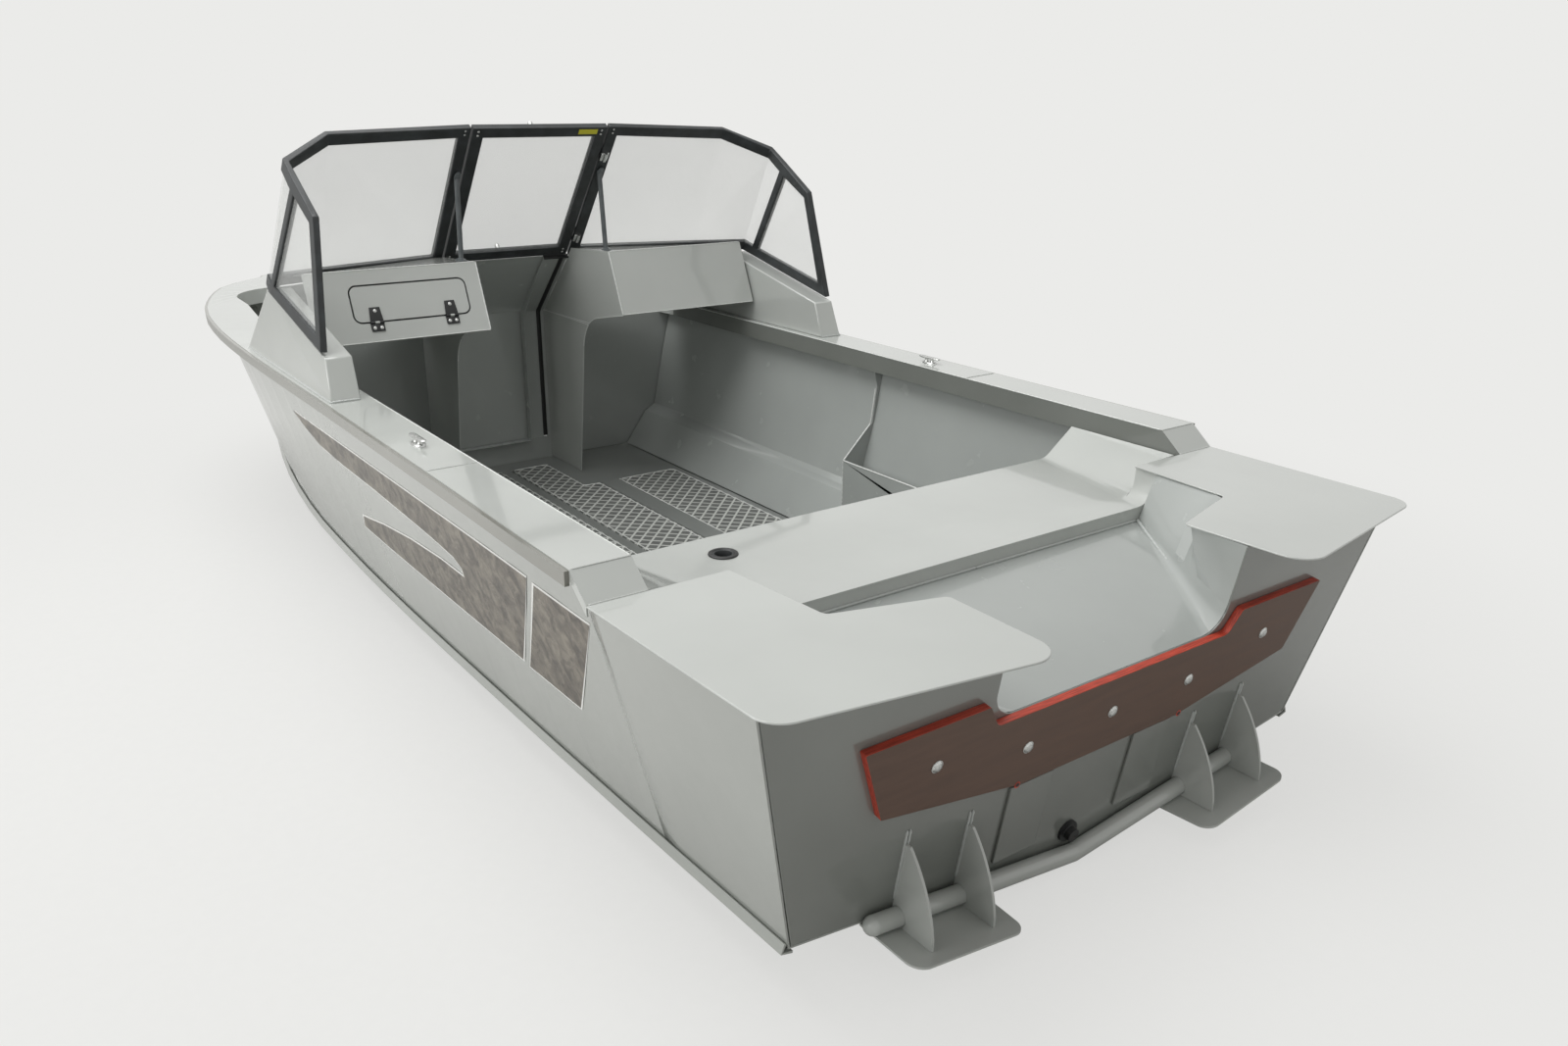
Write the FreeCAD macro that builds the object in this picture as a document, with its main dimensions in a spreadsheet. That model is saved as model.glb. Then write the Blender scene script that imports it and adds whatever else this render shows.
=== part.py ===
import FreeCAD, Part
import math
import os
import Sketcher
from FreeCAD import Placement, Vector

# Open aluminium motorboat with a walk-through windshield, welded from bent sheet.
# Millimetres. +X points to the bow, +Y to port, +Z up. The origin lies on the waterline,
# on the centreline, below the transom's chine corners.

doc = FreeCAD.newDocument("boat")
sheet = doc.addObject("Spreadsheet::Sheet", "Sizes")

# Driving sizes: alias, millimetres (or a plain ratio), what it is
SIZES = [
    ("hull_length", 4580, "transom foot to stem head"),
    ("half_beam", 917, "centreline to the outer edge of the side deck"),
    ("bow_reach", 60, "bow deck ahead of the stem head"),
    ("hull_plate", 4, "bottom, side and transom sheet"),
    ("deck_plate", 4, "decks and platforms"),
    ("liner_plate", 2.5, "inner sheet work"),
    ("seam", 0.5, "gap left between separate sheets for their weld"),
    ("keel_depth", 136, "keel below the waterline at the transom"),
    ("chine_drop", 30, "chine below the waterline at the transom"),
    ("chine_half", 758, "half width between the chines at the transom"),
    ("transom_rake", 0.175, "run aft for each unit of height"),
    ("platform_drop", 50, "platforms below the side decks"),
    ("deck_level", 580, "top of the side decks"),
    ("bow_rise", 20, "bow deck above the side decks"),
    ("deck_overhang", 12, "deck edge outside the hull side"),
    ("bow_overhang", 45, "extra overhang round the bow"),
    ("side_deck_width", 127, "gunwale to the cockpit edge"),
    ("deck_flange", 60, "fold down along the cockpit edge"),
    ("platform_front", 406, "transom foot to the platforms' forward edge"),
    ("step_run", 63, "slope from platform up to side deck"),
    ("platform_corner", 147, "outer aft corner behind the transom foot"),
    ("platform_tail", 234, "inner aft corner behind the transom foot"),
    ("platform_clear", 9, "platform corner outside the transom notch at the stern"),
    ("platform_neck", 65, "inner aft corner of the splash well cut-out"),
    ("platform_well", 131, "forward end of the splash well cut-out"),
    ("platform_width", 327, "gunwale to the platform's inner edge beside the well"),
    ("platform_width_front", 308, "gunwale to the platform's inner edge at its forward end"),
    ("platform_radius", 60, "rounded platform corners"),
    ("neck_radius", 18, "small platform corners"),
    ("notch_half", 345, "half width of the transom notch"),
    ("notch_level", 325, "bottom of the transom notch"),
    ("notch_radius", 60, "rounded notch corners"),
    ("bench_drop", 80, "bench below the platforms"),
    ("bench_aft", 340, "aft edge of the bench"),
    ("bench_front", 765, "forward edge of the bench"),
    ("bench_curve_aft", 12, "platform's inner edge to the bench's bend at its aft edge"),
    ("bench_curve_front", 108, "cockpit edge to the bench's bend at its forward edge"),
    ("bench_bend_aft", 48, "length of the bend's curve at the aft edge"),
    ("bench_bend_front", 20, "and forward"),
    ("bench_lip", 45, "fold down along the bench's forward edge"),
    ("well_drop", 35, "splash well tray below the bench"),
    ("well_lean", 30, "tray's forward edge inside the platform's inner edge"),
    ("floor_level", -30, "top of the cockpit floor"),
    ("floor_inset", 158, "cockpit floor's edge inside the chine"),
    ("floor_front", 3060, "forward end of the cockpit floor"),
    ("rail_height", 6, "raised strips between the tread panels"),
    ("rail_width", 76, "width of a raised strip"),
    ("rail_offset", 279, "centre of a raised strip from the centreline"),
    ("tread_plate", 3, "tread panels"),
    ("tread_aft", 900, "aft end of the tread panels"),
    ("tread_front_gap", 110, "middle tread panels behind the bulkhead"),
    ("tread_side_gap", 450, "side tread panels behind the bulkhead"),
    ("tread_neck", 175, "half width of the middle tread panels between the consoles"),
    ("tread_middle", 20, "centreline to the middle tread panels"),
    ("tread_margin", 30, "side tread panels inside the floor's edge"),
    ("liner_gap", 52, "liner's top inside the hull side"),
    ("shelf_level", 100, "inner fold of the liner"),
    ("shelf_inset", 58, "liner's fold inside the chine"),
    ("shelf_run", 45, "width of the fold"),
    ("rib_station", 1650, "ribs that close the side pockets"),
    ("pocket_inset", 28, "pocket panels inside the liner's fold"),
    ("pocket_level", 225, "top of the pocket panels"),
    ("passage_half", 250, "half width of the passage between the consoles"),
    ("console_depth", 669, "console faces' lower edge behind the bulkhead"),
    ("console_lean", 92, "upper edge of the face ahead of the lower edge"),
    ("console_rise", 73, "lower edge of the console faces above the side deck"),
    ("console_face", 215, "height of the console faces"),
    ("console_gap", 9, "console faces inside the coamings"),
    ("knee_depth", 400, "knee cut-out ahead of the face"),
    ("knee_radius", 150, "rounded top of the knee cut-out"),
    ("glovebox_sill", 57, "glovebox opening above the face's lower edge"),
    ("glovebox_head", 43, "glovebox opening below the face's upper edge"),
    ("glovebox_start", 50, "glovebox opening outside the passage wall"),
    ("glovebox_end", 126, "glovebox opening inside the face's outer end"),
    ("glovebox_deep", 150, "depth of the glovebox"),
    ("lid_gap", 5, "gap round the glovebox lid"),
    ("lid_radius", 22, "rounded corners of the lid"),
    ("lid_thick", 5, "lid with its folded rim"),
    ("hinge_radius", 4, "hinge barrels"),
    ("screen_setback", 249, "windshield foot behind the bulkhead at the passage"),
    ("screen_sink", 46, "windshield foot below the console's upper edge"),
    ("screen_sweep", 241, "run aft of the windshield foot to the side"),
    ("screen_rake", 381, "windshield head behind its foot at the passage"),
    ("screen_rise", 470, "windshield head above its foot"),
    ("screen_bend_in", 182, "where the head starts to drop, inside the side feet"),
    ("screen_bend_drop", 12, "drop of the head to there"),
    ("screen_corner_run", 245, "upper side corners behind the side feet"),
    ("screen_tumble", 37, "upper side corners inside the side feet"),
    ("screen_corner_drop", 69, "drop of the head to those corners"),
    ("screen_low_run", 228, "lower bend of the side frame behind the corners"),
    ("screen_low_drop", 138, "lower bend below the corners"),
    ("screen_aft_run", 66, "aft foot of the side frame behind the lower bend"),
    ("screen_inset", 35, "side frame's feet inside the gunwale"),
    ("window_half", 240, "half width of the opening window with its frame"),
    ("frame_bar", 38, "width of the frame bars"),
    ("frame_deep", 20, "depth of the frame bars"),
    ("brace_width", 30, "width of the slanting post"),
    ("brace_foot_run", 65, "foot of the slanting post behind the side foot"),
    ("brace_head_run", 100, "head of the slanting post behind the upper side corner"),
    ("glass_thick", 5, "panes"),
    ("window_gap", 6, "gap round the opening window"),
    ("coaming_run", 18, "coamings' aft end behind the side frame"),
    ("coaming_slant", 42, "coaming foot behind the top's aft end"),
    ("coaming_rise", 118, "coaming top above the side deck at its aft end"),
    ("coaming_sink", 22, "coaming top below the windshield foot"),
    ("coaming_width", 84, "width of the coamings"),
    ("coaming_lean", 8, "coaming top inside its foot"),
    ("fairing_sweep", 149, "fairing's foot at the side behind the passage's"),
    ("well_ahead", 470, "bow cockpit opening's forward edge behind the stem head"),
    ("well_margin", 217, "gunwale amidships to the bow cockpit opening's side"),
    ("well_radius", 150, "rounded corners of the opening"),
    ("bow_floor_level", 30, "bow cockpit floor"),
    ("bow_seat_level", 255, "bow locker's top"),
    ("bow_seat_run", 450, "bow locker behind the opening's forward edge"),
    ("sill_level", 60, "top of the sill under the passage door"),
    ("jamb_width", 100, "jamb's inner edge inside the passage wall"),
    ("jamb_outer", 218, "jamb's outer edge from the centreline"),
    ("jamb_strip", 17, "strip along the console wall, past the gap beside the jamb"),
    ("rib_flange", 32, "fold along the door opening"),
    ("door_lap", 15, "door over its frame"),
    ("door_gap", 6, "gap between door and frame"),
    ("door_thick", 3, "door sheet"),
    ("door_barrel", 7, "radius of the door's hinge barrel"),
    ("pad_thick", 18, "plywood pad on the transom"),
    ("pad_margin", 90, "upper corners of the pad inside the chine corners"),
    ("pad_rise", 52, "top of the pad above the notch"),
    ("pad_low", 212, "lower outer corner of the pad"),
    ("pad_foot", 149, "bottom of the pad"),
    ("pad_inset", 64, "lower corner inside the upper corner"),
    ("pad_flat", 239, "half width of the pad's bottom edge"),
    ("doubler_thick", 6, "doubler strips"),
    ("doubler_inner", 124, "inner edge of a doubler strip"),
    ("doubler_width", 122, "width of a doubler strip"),
    ("doubler_low", -62, "foot of the doubler strips"),
    ("doubler_top", 132, "top of the doubler strips"),
    ("tube_radius", 20, "tube along the transom's foot"),
    ("tab_width", 298, "width of a trim plate"),
    ("tab_margin", 185, "outer edge of a trim plate inside the chine"),
    ("tab_reach", 140, "trim plate behind the transom foot"),
    ("tab_thick", 5, "trim plates"),
    ("tab_radius", 34, "rounded corners of the trim plates"),
    ("gusset_first", 65, "inner gusset from the trim plate's inner edge"),
    ("gusset_second", 230, "outer gusset from the trim plate's inner edge"),
    ("gusset_height", 186, "gusset up the transom"),
    ("gusset_reach", 118, "gusset along the trim plate"),
    ("gusset_thick", 6, "gussets"),
    ("plug_radius", 26, "drain plug flange"),
    ("plug_depth", 22, "drain plug out of the transom"),
    ("chine_rail", 26, "width of the chine rail"),
    ("rub_height", 30, "height of the rub rail"),
    ("rub_depth", 10, "rub rail out of the deck edge"),
    ("keel_bar", 24, "width of the keel bar"),
    ("keel_reach", 20, "keel bar below the bottom sheet"),
    ("cleat_station", 1434, "cleats from the transom foot"),
    ("cleat_length", 96, "length of a cleat"),
    ("cleat_width", 42, "width of a cleat"),
    ("cleat_height", 22, "height of a cleat"),
    ("socket_station", 655, "deck socket from the transom foot"),
    ("socket_inset", 128, "platform's inner edge to the deck socket"),
    ("socket_flange", 34, "radius of the socket's flange"),
    ("socket_bore", 20, "radius of the socket's bore"),
    ("socket_depth", 70, "depth of the socket below the bench"),
    ("strut_radius", 8.5, "windshield struts"),
    ("strut_run", 154, "foot of the struts ahead of the console faces"),
    ("strut_offset", 275, "struts from the centreline"),
    ("strut_drop", 150, "head of the struts below the windshield head"),
    ("eye_level", 330, "bow eye above the waterline"),
    ("eye_radius", 22, "bow eye's ring"),
    ("eye_wire", 6, "radius of the bow eye's rod"),
]
# Sizes worked out from the driving sizes: alias, formula, what it is
DERIVED = [
    ("platform_level", "deck_level - platform_drop", "top of the stern platforms"),
    ("platform_inner", "half_beam - platform_width", "platform's inner edge beside the well"),
    ("platform_bench", "half_beam - platform_width_front", "its inner edge at the forward end"),
    ("platform_gap", "notch_half + platform_clear", "half width between the platforms"),
    ("bench_level", "platform_level - bench_drop", "top of the aft bench"),
    ("bench_half_aft", "platform_bench - bench_curve_aft", "half width to the bend at the aft edge"),
    ("bench_half_front", "half_beam - side_deck_width - bench_curve_front", "and forward"),
    ("well_level", "bench_level - well_drop", "forward edge of the splash well tray"),
    ("well_half", "platform_inner - well_lean", "half width of the tray there"),
    ("floor_half", "chine_half - floor_inset", "half width of the cockpit floor"),
    ("shelf_half", "chine_half - shelf_inset", "half width at the liner's fold"),
    ("pocket_half", "shelf_half - pocket_inset", "half width between the pocket panels"),
    ("tread_front", "floor_front - tread_front_gap", "forward end of the middle panels"),
    ("tread_side_front", "floor_front - tread_side_gap", "forward end of the side panels"),
    ("coaming_inner", "half_beam - deck_overhang - coaming_width", "coamings' inner face"),
    ("coaming_level", "deck_level + coaming_rise", "coaming top at its aft end"),
    ("console_aft", "floor_front - console_depth", "lower edge of the console faces"),
    ("console_low", "deck_level + console_rise", "lower edge of the console faces"),
    ("console_high", "console_low + console_face", "upper edge of the console faces"),
    ("console_half", "coaming_inner - console_gap", "outer end of the console faces"),
    ("glovebox_low", "console_low + glovebox_sill", "lower edge of the glovebox opening"),
    ("glovebox_high", "console_high - glovebox_head", "upper edge of the opening"),
    ("glovebox_inner", "passage_half + glovebox_start", "inner edge of the opening"),
    ("glovebox_outer", "console_half - glovebox_end", "outer edge of the opening"),
    ("screen_foot", "floor_front - screen_setback", "windshield foot at the passage"),
    ("screen_level", "console_high - screen_sink", "height of the windshield foot"),
    ("screen_foot_side", "screen_foot - screen_sweep", "windshield foot at the side"),
    ("screen_side_half", "half_beam - screen_inset", "half width at the side frame's feet"),
    ("screen_top", "screen_foot - screen_rake", "windshield head at the passage"),
    ("screen_height", "screen_level + screen_rise", "height of the windshield head"),
    ("screen_bend_half", "screen_side_half - screen_bend_in", "where the head starts to drop"),
    ("screen_bend_level", "screen_height - screen_bend_drop", "height there"),
    ("screen_corner", "screen_foot_side - screen_corner_run", "upper side corners"),
    ("screen_corner_half", "screen_side_half - screen_tumble", "half width at those corners"),
    ("screen_corner_level", "screen_bend_level - screen_corner_drop", "their height"),
    ("screen_low", "screen_corner - screen_low_run", "lower bend of the side frame"),
    ("screen_low_level", "screen_corner_level - screen_low_drop", "height of the lower bend"),
    ("screen_aft", "screen_low - screen_aft_run", "aft foot of the side frame"),
    ("coaming_head", "screen_level - coaming_sink", "coaming top under the side frame"),
    ("coaming_aft", "screen_aft - coaming_run", "aft end of the coamings' top"),
    ("fairing_side", "floor_front - fairing_sweep", "foot of the fairing at the side"),
    ("strut_foot", "console_aft + strut_run", "foot of the struts"),
    ("strut_head", "screen_height - strut_drop", "head of the struts"),
    ("well_front", "hull_length - well_ahead", "bow cockpit opening's forward edge"),
    ("well_edge", "half_beam - well_margin", "half width of the opening"),
    ("bow_seat_aft", "well_front - bow_seat_run", "aft face of the bow locker"),
    ("pad_half", "chine_half - pad_margin", "half width of the pad's top"),
    ("pad_level", "notch_level + pad_rise", "top of the pad"),
    ("tab_outer", "chine_half - tab_margin", "outer edge of a trim plate"),
    ("tab_inner", "tab_outer - tab_width", "inner edge of a trim plate"),
    ("gusset_inner", "tab_inner + gusset_first", "inner gusset"),
    ("gusset_outer", "tab_inner + gusset_second", "outer gusset"),
    ("socket_offset", "platform_inner - socket_inset", "deck socket from the centreline"),
]
CELLS = [(alias, str(value), note) for alias, value, note in SIZES]
CELLS += [(alias, "=" + formula, note) for alias, formula, note in DERIVED]
for row, (alias, content, note) in enumerate(CELLS, start=1):
    sheet.set("A%d" % row, alias)
    sheet.set("B%d" % row, content)
    sheet.set("C%d" % row, note)
    sheet.setAlias("B%d" % row, alias)
doc.recompute()


class Size:
    """A length with its formula as the sheet reads it and its value now."""

    def __init__(self, text, value):
        self.text = text
        self.value = value

    def __float__(self):
        return float(self.value)

    def __add__(self, other):
        other = as_size(other)
        return Size("(%s + %s)" % (self.text, other.text), self.value + other.value)

    def __sub__(self, other):
        other = as_size(other)
        return Size("(%s - %s)" % (self.text, other.text), self.value - other.value)

    def __mul__(self, other):
        other = as_size(other)
        return Size("(%s * %s)" % (self.text, other.text), self.value * other.value)

    def __truediv__(self, other):
        other = as_size(other)
        return Size("(%s / %s)" % (self.text, other.text), self.value / other.value)

    def __neg__(self):
        return Size("(0 - %s)" % self.text, -self.value)

    __radd__ = __add__
    __rmul__ = __mul__


def as_size(number):
    """Wrap a plain number so that it can stand in a formula."""
    return number if isinstance(number, Size) else Size(repr(number), number)


class Sheet:
    """The spreadsheet's sizes by name: sizes.half_beam carries its own formula."""

    def __getattr__(self, alias):
        return Size("Sizes.%s" % alias, float(getattr(sheet, alias)))


sizes = Sheet()


def mm(alias):
    """A size's plain value."""
    return float(getattr(sheet, alias))


# Lines of the hull: share of hull_length, keel height, chine half width as a share of the
# transom's, chine height, deck edge half width as a share of half_beam, share of the overhang,
# share of the bow's rise. Heights are above the waterline at the drawn depth.
LINES = [
    (-0.035, -135, 1.000, -29, 0.988, 0.00, 0.0),
    (0.000, -136, 1.000, -30, 0.990, 0.00, 0.0),
    (0.100, -139, 1.012, -34, 1.003, 0.00, 0.0),
    (0.220, -143, 1.022, -38, 1.000, 0.00, 0.0),
    (0.430, -147, 1.030, -42, 1.000, 0.00, 0.0),
    (0.560, -145, 1.020, -36, 1.005, 0.03, 0.0),
    (0.635, -137, 1.005, -22, 1.005, 0.10, 0.1),
    (0.720, -112, 0.965, 22, 0.992, 0.35, 0.2),
    (0.805, -60, 0.875, 92, 0.950, 0.70, 0.4),
    (0.870, 5, 0.720, 165, 0.872, 1.00, 0.6),
    (0.925, 95, 0.480, 245, 0.765, 1.05, 0.8),
    (0.952, 180, 0.280, 295, 0.660, 1.20, 0.9),
    (0.974, 285, 0.060, 343, 0.525, 1.50, 1.0),
]
# Stem and bow edge ahead of the last full section: share of hull_length, stem height,
# side half width as a share of half_beam
STEM = [
    (0.988, 440, 0.250),
    (1.000, 570, 0.016),
]
LINE_COLUMNS = ("keel", "chine_y", "chine_z", "edge", "hang", "rise")


def lines_at(x):
    """Every line of the hull at a station, by a smooth cubic through the table's rows."""
    share = x / mm("hull_length")
    last = len(LINES) - 1
    first = 0
    while first < last - 1 and LINES[first + 1][0] <= share:
        first += 1
    low, high = LINES[first], LINES[first + 1]
    span = high[0] - low[0]
    part = (share - low[0]) / span
    before = LINES[max(first - 1, 0)]
    after = LINES[min(first + 2, last)]
    found = {}
    for column, name in enumerate(LINE_COLUMNS, start=1):
        slope_low = (high[column] - before[column]) / (high[0] - before[0]) * span
        slope_high = (after[column] - low[column]) / (after[0] - low[0]) * span
        found[name] = (
            (2 * part ** 3 - 3 * part ** 2 + 1) * low[column]
            + (part ** 3 - 2 * part ** 2 + part) * slope_low
            + (3 * part ** 2 - 2 * part ** 3) * high[column]
            + (part ** 3 - part ** 2) * slope_high
        )
    return found


def keel_at(x):
    return lines_at(x)["keel"] + DRAWN_KEEL - mm("keel_depth")


def chine_at(x):
    """Half width and height of the chine."""
    here = lines_at(x)
    return here["chine_y"] * mm("chine_half"), here["chine_z"] + DRAWN_CHINE - mm("chine_drop")


def deck_edge_at(x):
    """Half width and height of the deck's outer edge."""
    here = lines_at(x)
    return here["edge"] * mm("half_beam"), mm("deck_level") + here["rise"] * mm("bow_rise")


def side_top_at(x):
    """Half width of the hull side where it meets the deck from below."""
    here = lines_at(x)
    return here["edge"] * mm("half_beam") - mm("deck_overhang") - here["hang"] * mm("bow_overhang")


def side_at(x, z):
    """Half width of the hull side's outer face at a height between chine and deck."""
    chine_y, chine_z = chine_at(x)
    top_y = side_top_at(x)
    top_z = deck_edge_at(x)[1] - mm("deck_plate")
    return chine_y + (top_y - chine_y) * (z - chine_z) / (top_z - chine_z)


def transom_x(z):
    """The raked transom's outer face at a height."""
    return -mm("transom_rake") * (z + mm("chine_drop"))


DRAWN_KEEL = 136
DRAWN_CHINE = 30


def facets(points):
    """A closed plane polygon as a face."""
    return Part.Face(Part.makePolygon(points + [points[0]]))


def solid_of(faces):
    """Close a set of faces into one solid that is the right way out."""
    shell = Part.makeShell(faces)
    shell.sewShape()
    solid = Part.makeSolid(shell)
    if solid.Volume < 0:
        solid.reverse()
    return solid


def triangles(a, b, c, d, flip):
    """Two faces over the quadrilateral a, b, c, d, without any that have no area."""
    found = []
    for corners in ((a, b, c), (a, c, d)):
        area = (corners[1] - corners[0]).cross(corners[2] - corners[0]).Length
        if area > 1e-3:
            found.append(facets(list(reversed(corners)) if flip else list(corners)))
    return found


def row_normals(rows):
    """One unit normal for each point of a grid, from the directions to its neighbours."""
    normals = []
    for i, row in enumerate(rows):
        line = []
        for j, point in enumerate(row):
            along = rows[min(i + 1, len(rows) - 1)][j] - rows[max(i - 1, 0)][j]
            sides = []
            if j > 0:
                sides.append(row[j] - row[j - 1])
            if j < len(row) - 1:
                sides.append(row[j + 1] - row[j])
            total = Vector(0, 0, 0)
            for across in sides:
                normal = along.cross(across)
                if normal.Length > 1e-9:
                    total = total + normal.normalize()
            line.append(total.normalize())
        normals.append(line)
    return normals


def offset_rows(rows, distance):
    """The same grid moved along its own normals."""
    return [
        [point + normal * distance for point, normal in zip(row, line)]
        for row, line in zip(rows, row_normals(rows))
    ]


def grid_walls(near, far, top, left, bottom, right, flip):
    """The four walls between two grids along a rectangle of rows and columns."""
    faces = []
    for i in range(top, bottom):
        faces += triangles(near[i][left], near[i + 1][left], far[i + 1][left], far[i][left], not flip)
        faces += triangles(near[i][right], near[i + 1][right], far[i + 1][right], far[i][right], flip)
    for j in range(left, right):
        faces += triangles(near[top][j], near[top][j + 1], far[top][j + 1], far[top][j], flip)
        faces += triangles(
            near[bottom][j], near[bottom][j + 1], far[bottom][j + 1], far[bottom][j], not flip
        )
    return faces


def sheet_between(near, far, openings=()):
    """A solid between two grids; each opening leaves out cells: top, left, bottom, right."""
    faces = []
    last_row = len(near) - 1
    last_column = len(near[0]) - 1
    for i in range(last_row):
        for j in range(last_column):
            if any(top <= i < bottom and left <= j < right for top, left, bottom, right in openings):
                continue
            for grid, flip in ((near, False), (far, True)):
                faces += triangles(grid[i][j], grid[i + 1][j], grid[i + 1][j + 1], grid[i][j + 1], flip)
    faces += grid_walls(near, far, 0, 0, last_row, last_column, False)
    for top, left, bottom, right in openings:
        faces += grid_walls(near, far, top, left, bottom, right, True)
    return solid_of(faces)


def folded_sheet(rows, thickness):
    """A sheet through a grid of points, thickened along its own normals."""
    return sheet_between(rows, offset_rows(rows, thickness))


def prism(points, direction):
    """A plane outline pushed along a direction."""
    return facets(points).extrude(direction)


def mirrored(shape):
    """The same piece on the other side of the centreline."""
    return shape.mirror(Vector(0, 0, 0), Vector(0, 1, 0))


def spread(first, last, count):
    """Evenly spaced stations from first to last."""
    return [first + (last - first) * step / (count - 1) for step in range(count)]


def rounded(corners, radii):
    """A plane outline with some corners turned into arcs, as one wire."""
    edges = []
    ends = []
    count = len(corners)
    for index, (corner, radius) in enumerate(zip(corners, radii)):
        back = (corners[index - 1] - corner).normalize()
        ahead = (corners[(index + 1) % count] - corner).normalize()
        if radius <= 0:
            ends.append((corner, corner, None))
            continue
        half = back.getAngle(ahead) / 2
        run = radius / math.tan(half)
        middle = (back + ahead).normalize()
        crown = corner + middle * (radius / math.sin(half) - radius)
        ends.append((corner + back * run, corner + ahead * run, crown))
    for index, (start, finish, crown) in enumerate(ends):
        if crown is not None:
            edges.append(Part.Arc(start, crown, finish).toShape())
        following = ends[(index + 1) % count][0]
        if (following - finish).Length > 1e-6:
            edges.append(Part.LineSegment(finish, following).toShape())
    return Part.Wire(edges)


def rounded_plate(corners, radii, direction, holes=()):
    """A plate with rounded corners and any number of holes of the same kind."""
    plate = Part.Face(rounded(corners, radii)).extrude(direction)
    for hole_corners, hole_radii in holes:
        cutter = Part.Face(rounded(hole_corners, hole_radii))
        cutter.translate(direction * -1)
        plate = plate.cut(cutter.extrude(direction * 3))
    return plate


def round_bar(start, finish, radius):
    """A round rod between two points."""
    along = finish - start
    return Part.makeCylinder(radius, along.Length, start, along)


NODES = []
# A solid smaller than this share of its piece's largest one is a crumb
CRUMB = 0.002


def keep(label, item):
    """Name an object of the document and list it as a sub-part."""
    item.Label = label
    NODES.append(item)
    return item


def feature(label, shape, *neighbours):
    """A sub-part whose shape is worked out here, trimmed where it meets its neighbours.

    Crumbs that a trim leaves are dropped.
    """
    for other in neighbours:
        shape = shape.cut(other.Shape if hasattr(other, "Shape") else other)
    largest = max(solid.Volume for solid in shape.Solids)
    kept = [solid for solid in shape.Solids if solid.Volume > largest * CRUMB]
    shape = kept[0] if len(kept) == 1 else Part.makeCompound(kept)
    item = doc.addObject("Part::Feature", label)
    item.Shape = shape
    item.Placement = Placement()
    return keep(label, item)


def bind(item, **formulas):
    """Tie properties of an object to formulas over the sheet's sizes."""
    for name, formula in formulas.items():
        item.setExpression(name.replace("__", "."), as_size(formula).text)


def block(name, length, width, height, x, y, z):
    """A box whose sizes and corner are tied to the sheet."""
    item = doc.addObject("Part::Box", name)
    bind(item, Length=length, Width=width, Height=height)
    bind(item, Placement__Base__x=x, Placement__Base__y=y, Placement__Base__z=z)
    return item


def drum(name, radius, height, x, y, z):
    """A cylinder whose sizes and foot are tied to the sheet."""
    item = doc.addObject("Part::Cylinder", name)
    bind(item, Radius=radius, Height=height)
    bind(item, Placement__Base__x=x, Placement__Base__y=y, Placement__Base__z=z)
    return item


def plan_plate(label, corners, thickness, level, radii=()):
    """A flat plate as a PartDesign body: its sketch, its pad and its rounded corners.

    corners are pairs of formulas, level is the underside, and radii holds each corner's
    radius, or None where it is sharp.
    """
    body = doc.addObject("PartDesign::Body", label)
    ground = [item for item in body.Origin.OriginFeatures if item.Role == "XY_Plane"][0]
    sketch = body.newObject("Sketcher::SketchObject", label + "_outline")
    sketch.AttachmentSupport = (ground, [""])
    sketch.MapMode = "FlatFace"
    points = [Vector(float(as_size(x)), float(as_size(y)), 0) for x, y in corners]
    count = len(points)
    for index, point in enumerate(points):
        sketch.addGeometry(Part.LineSegment(point, points[(index + 1) % count]), False)
    for index in range(count):
        sketch.addConstraint(
            Sketcher.Constraint("Coincident", index, 2, (index + 1) % count, 1)
        )
    for index, (x, y) in enumerate(corners):
        for kind, formula in (("DistanceX", x), ("DistanceY", y)):
            formula = as_size(formula)
            number = sketch.addConstraint(
                Sketcher.Constraint(kind, -1, 1, index, 1, float(formula))
            )
            if "Sizes" in formula.text:
                sketch.setExpression("Constraints[%d]" % number, formula.text)
    pad = body.newObject("PartDesign::Pad", label + "_pad")
    pad.Profile = sketch
    bind(pad, Length=thickness)
    bind(body, Placement__Base__z=level)
    doc.recompute()
    for index, radius in enumerate(radii):
        if radius is None:
            continue
        base = body.Tip
        edges = []
        for number, edge in enumerate(base.Shape.Edges, start=1):
            middle = edge.CenterOfMass
            if abs(middle.x - points[index].x) < 0.01 and abs(middle.y - points[index].y) < 0.01:
                edges.append("Edge%d" % number)
        fillet = body.newObject("PartDesign::Fillet", "%s_corner_%d" % (label, index))
        fillet.Base = (base, edges)
        bind(fillet, Radius=radius)
        body.Tip = fillet
        doc.recompute()
    return keep(label, body)


SIDES = (("port", 1), ("starboard", -1))


def both_sides(name, shape, *neighbours):
    """A port piece and its mirror image, each a sub-part of its own."""
    found = []
    for side, sign in SIDES:
        turned = shape if sign > 0 else mirrored(shape)
        found.append(feature("%s_%s" % (name, side), turned, *neighbours))
    return found


# Hull sheets

last_share = LINES[-1][0]
hull_stations = spread(0, last_share * mm("hull_length"), 27)
plate = mm("hull_plate")


def bottom_rows():
    """Bottom sheet: chine, keel, chine at each station; the first row lies on the transom."""
    rows = []
    for x in hull_stations:
        half, height = chine_at(x)
        keel_x = transom_x(keel_at(x)) if x == 0 else x
        rows.append([Vector(x, half, height), Vector(keel_x, 0, keel_at(x)), Vector(x, -half, height)])
    return rows


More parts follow.
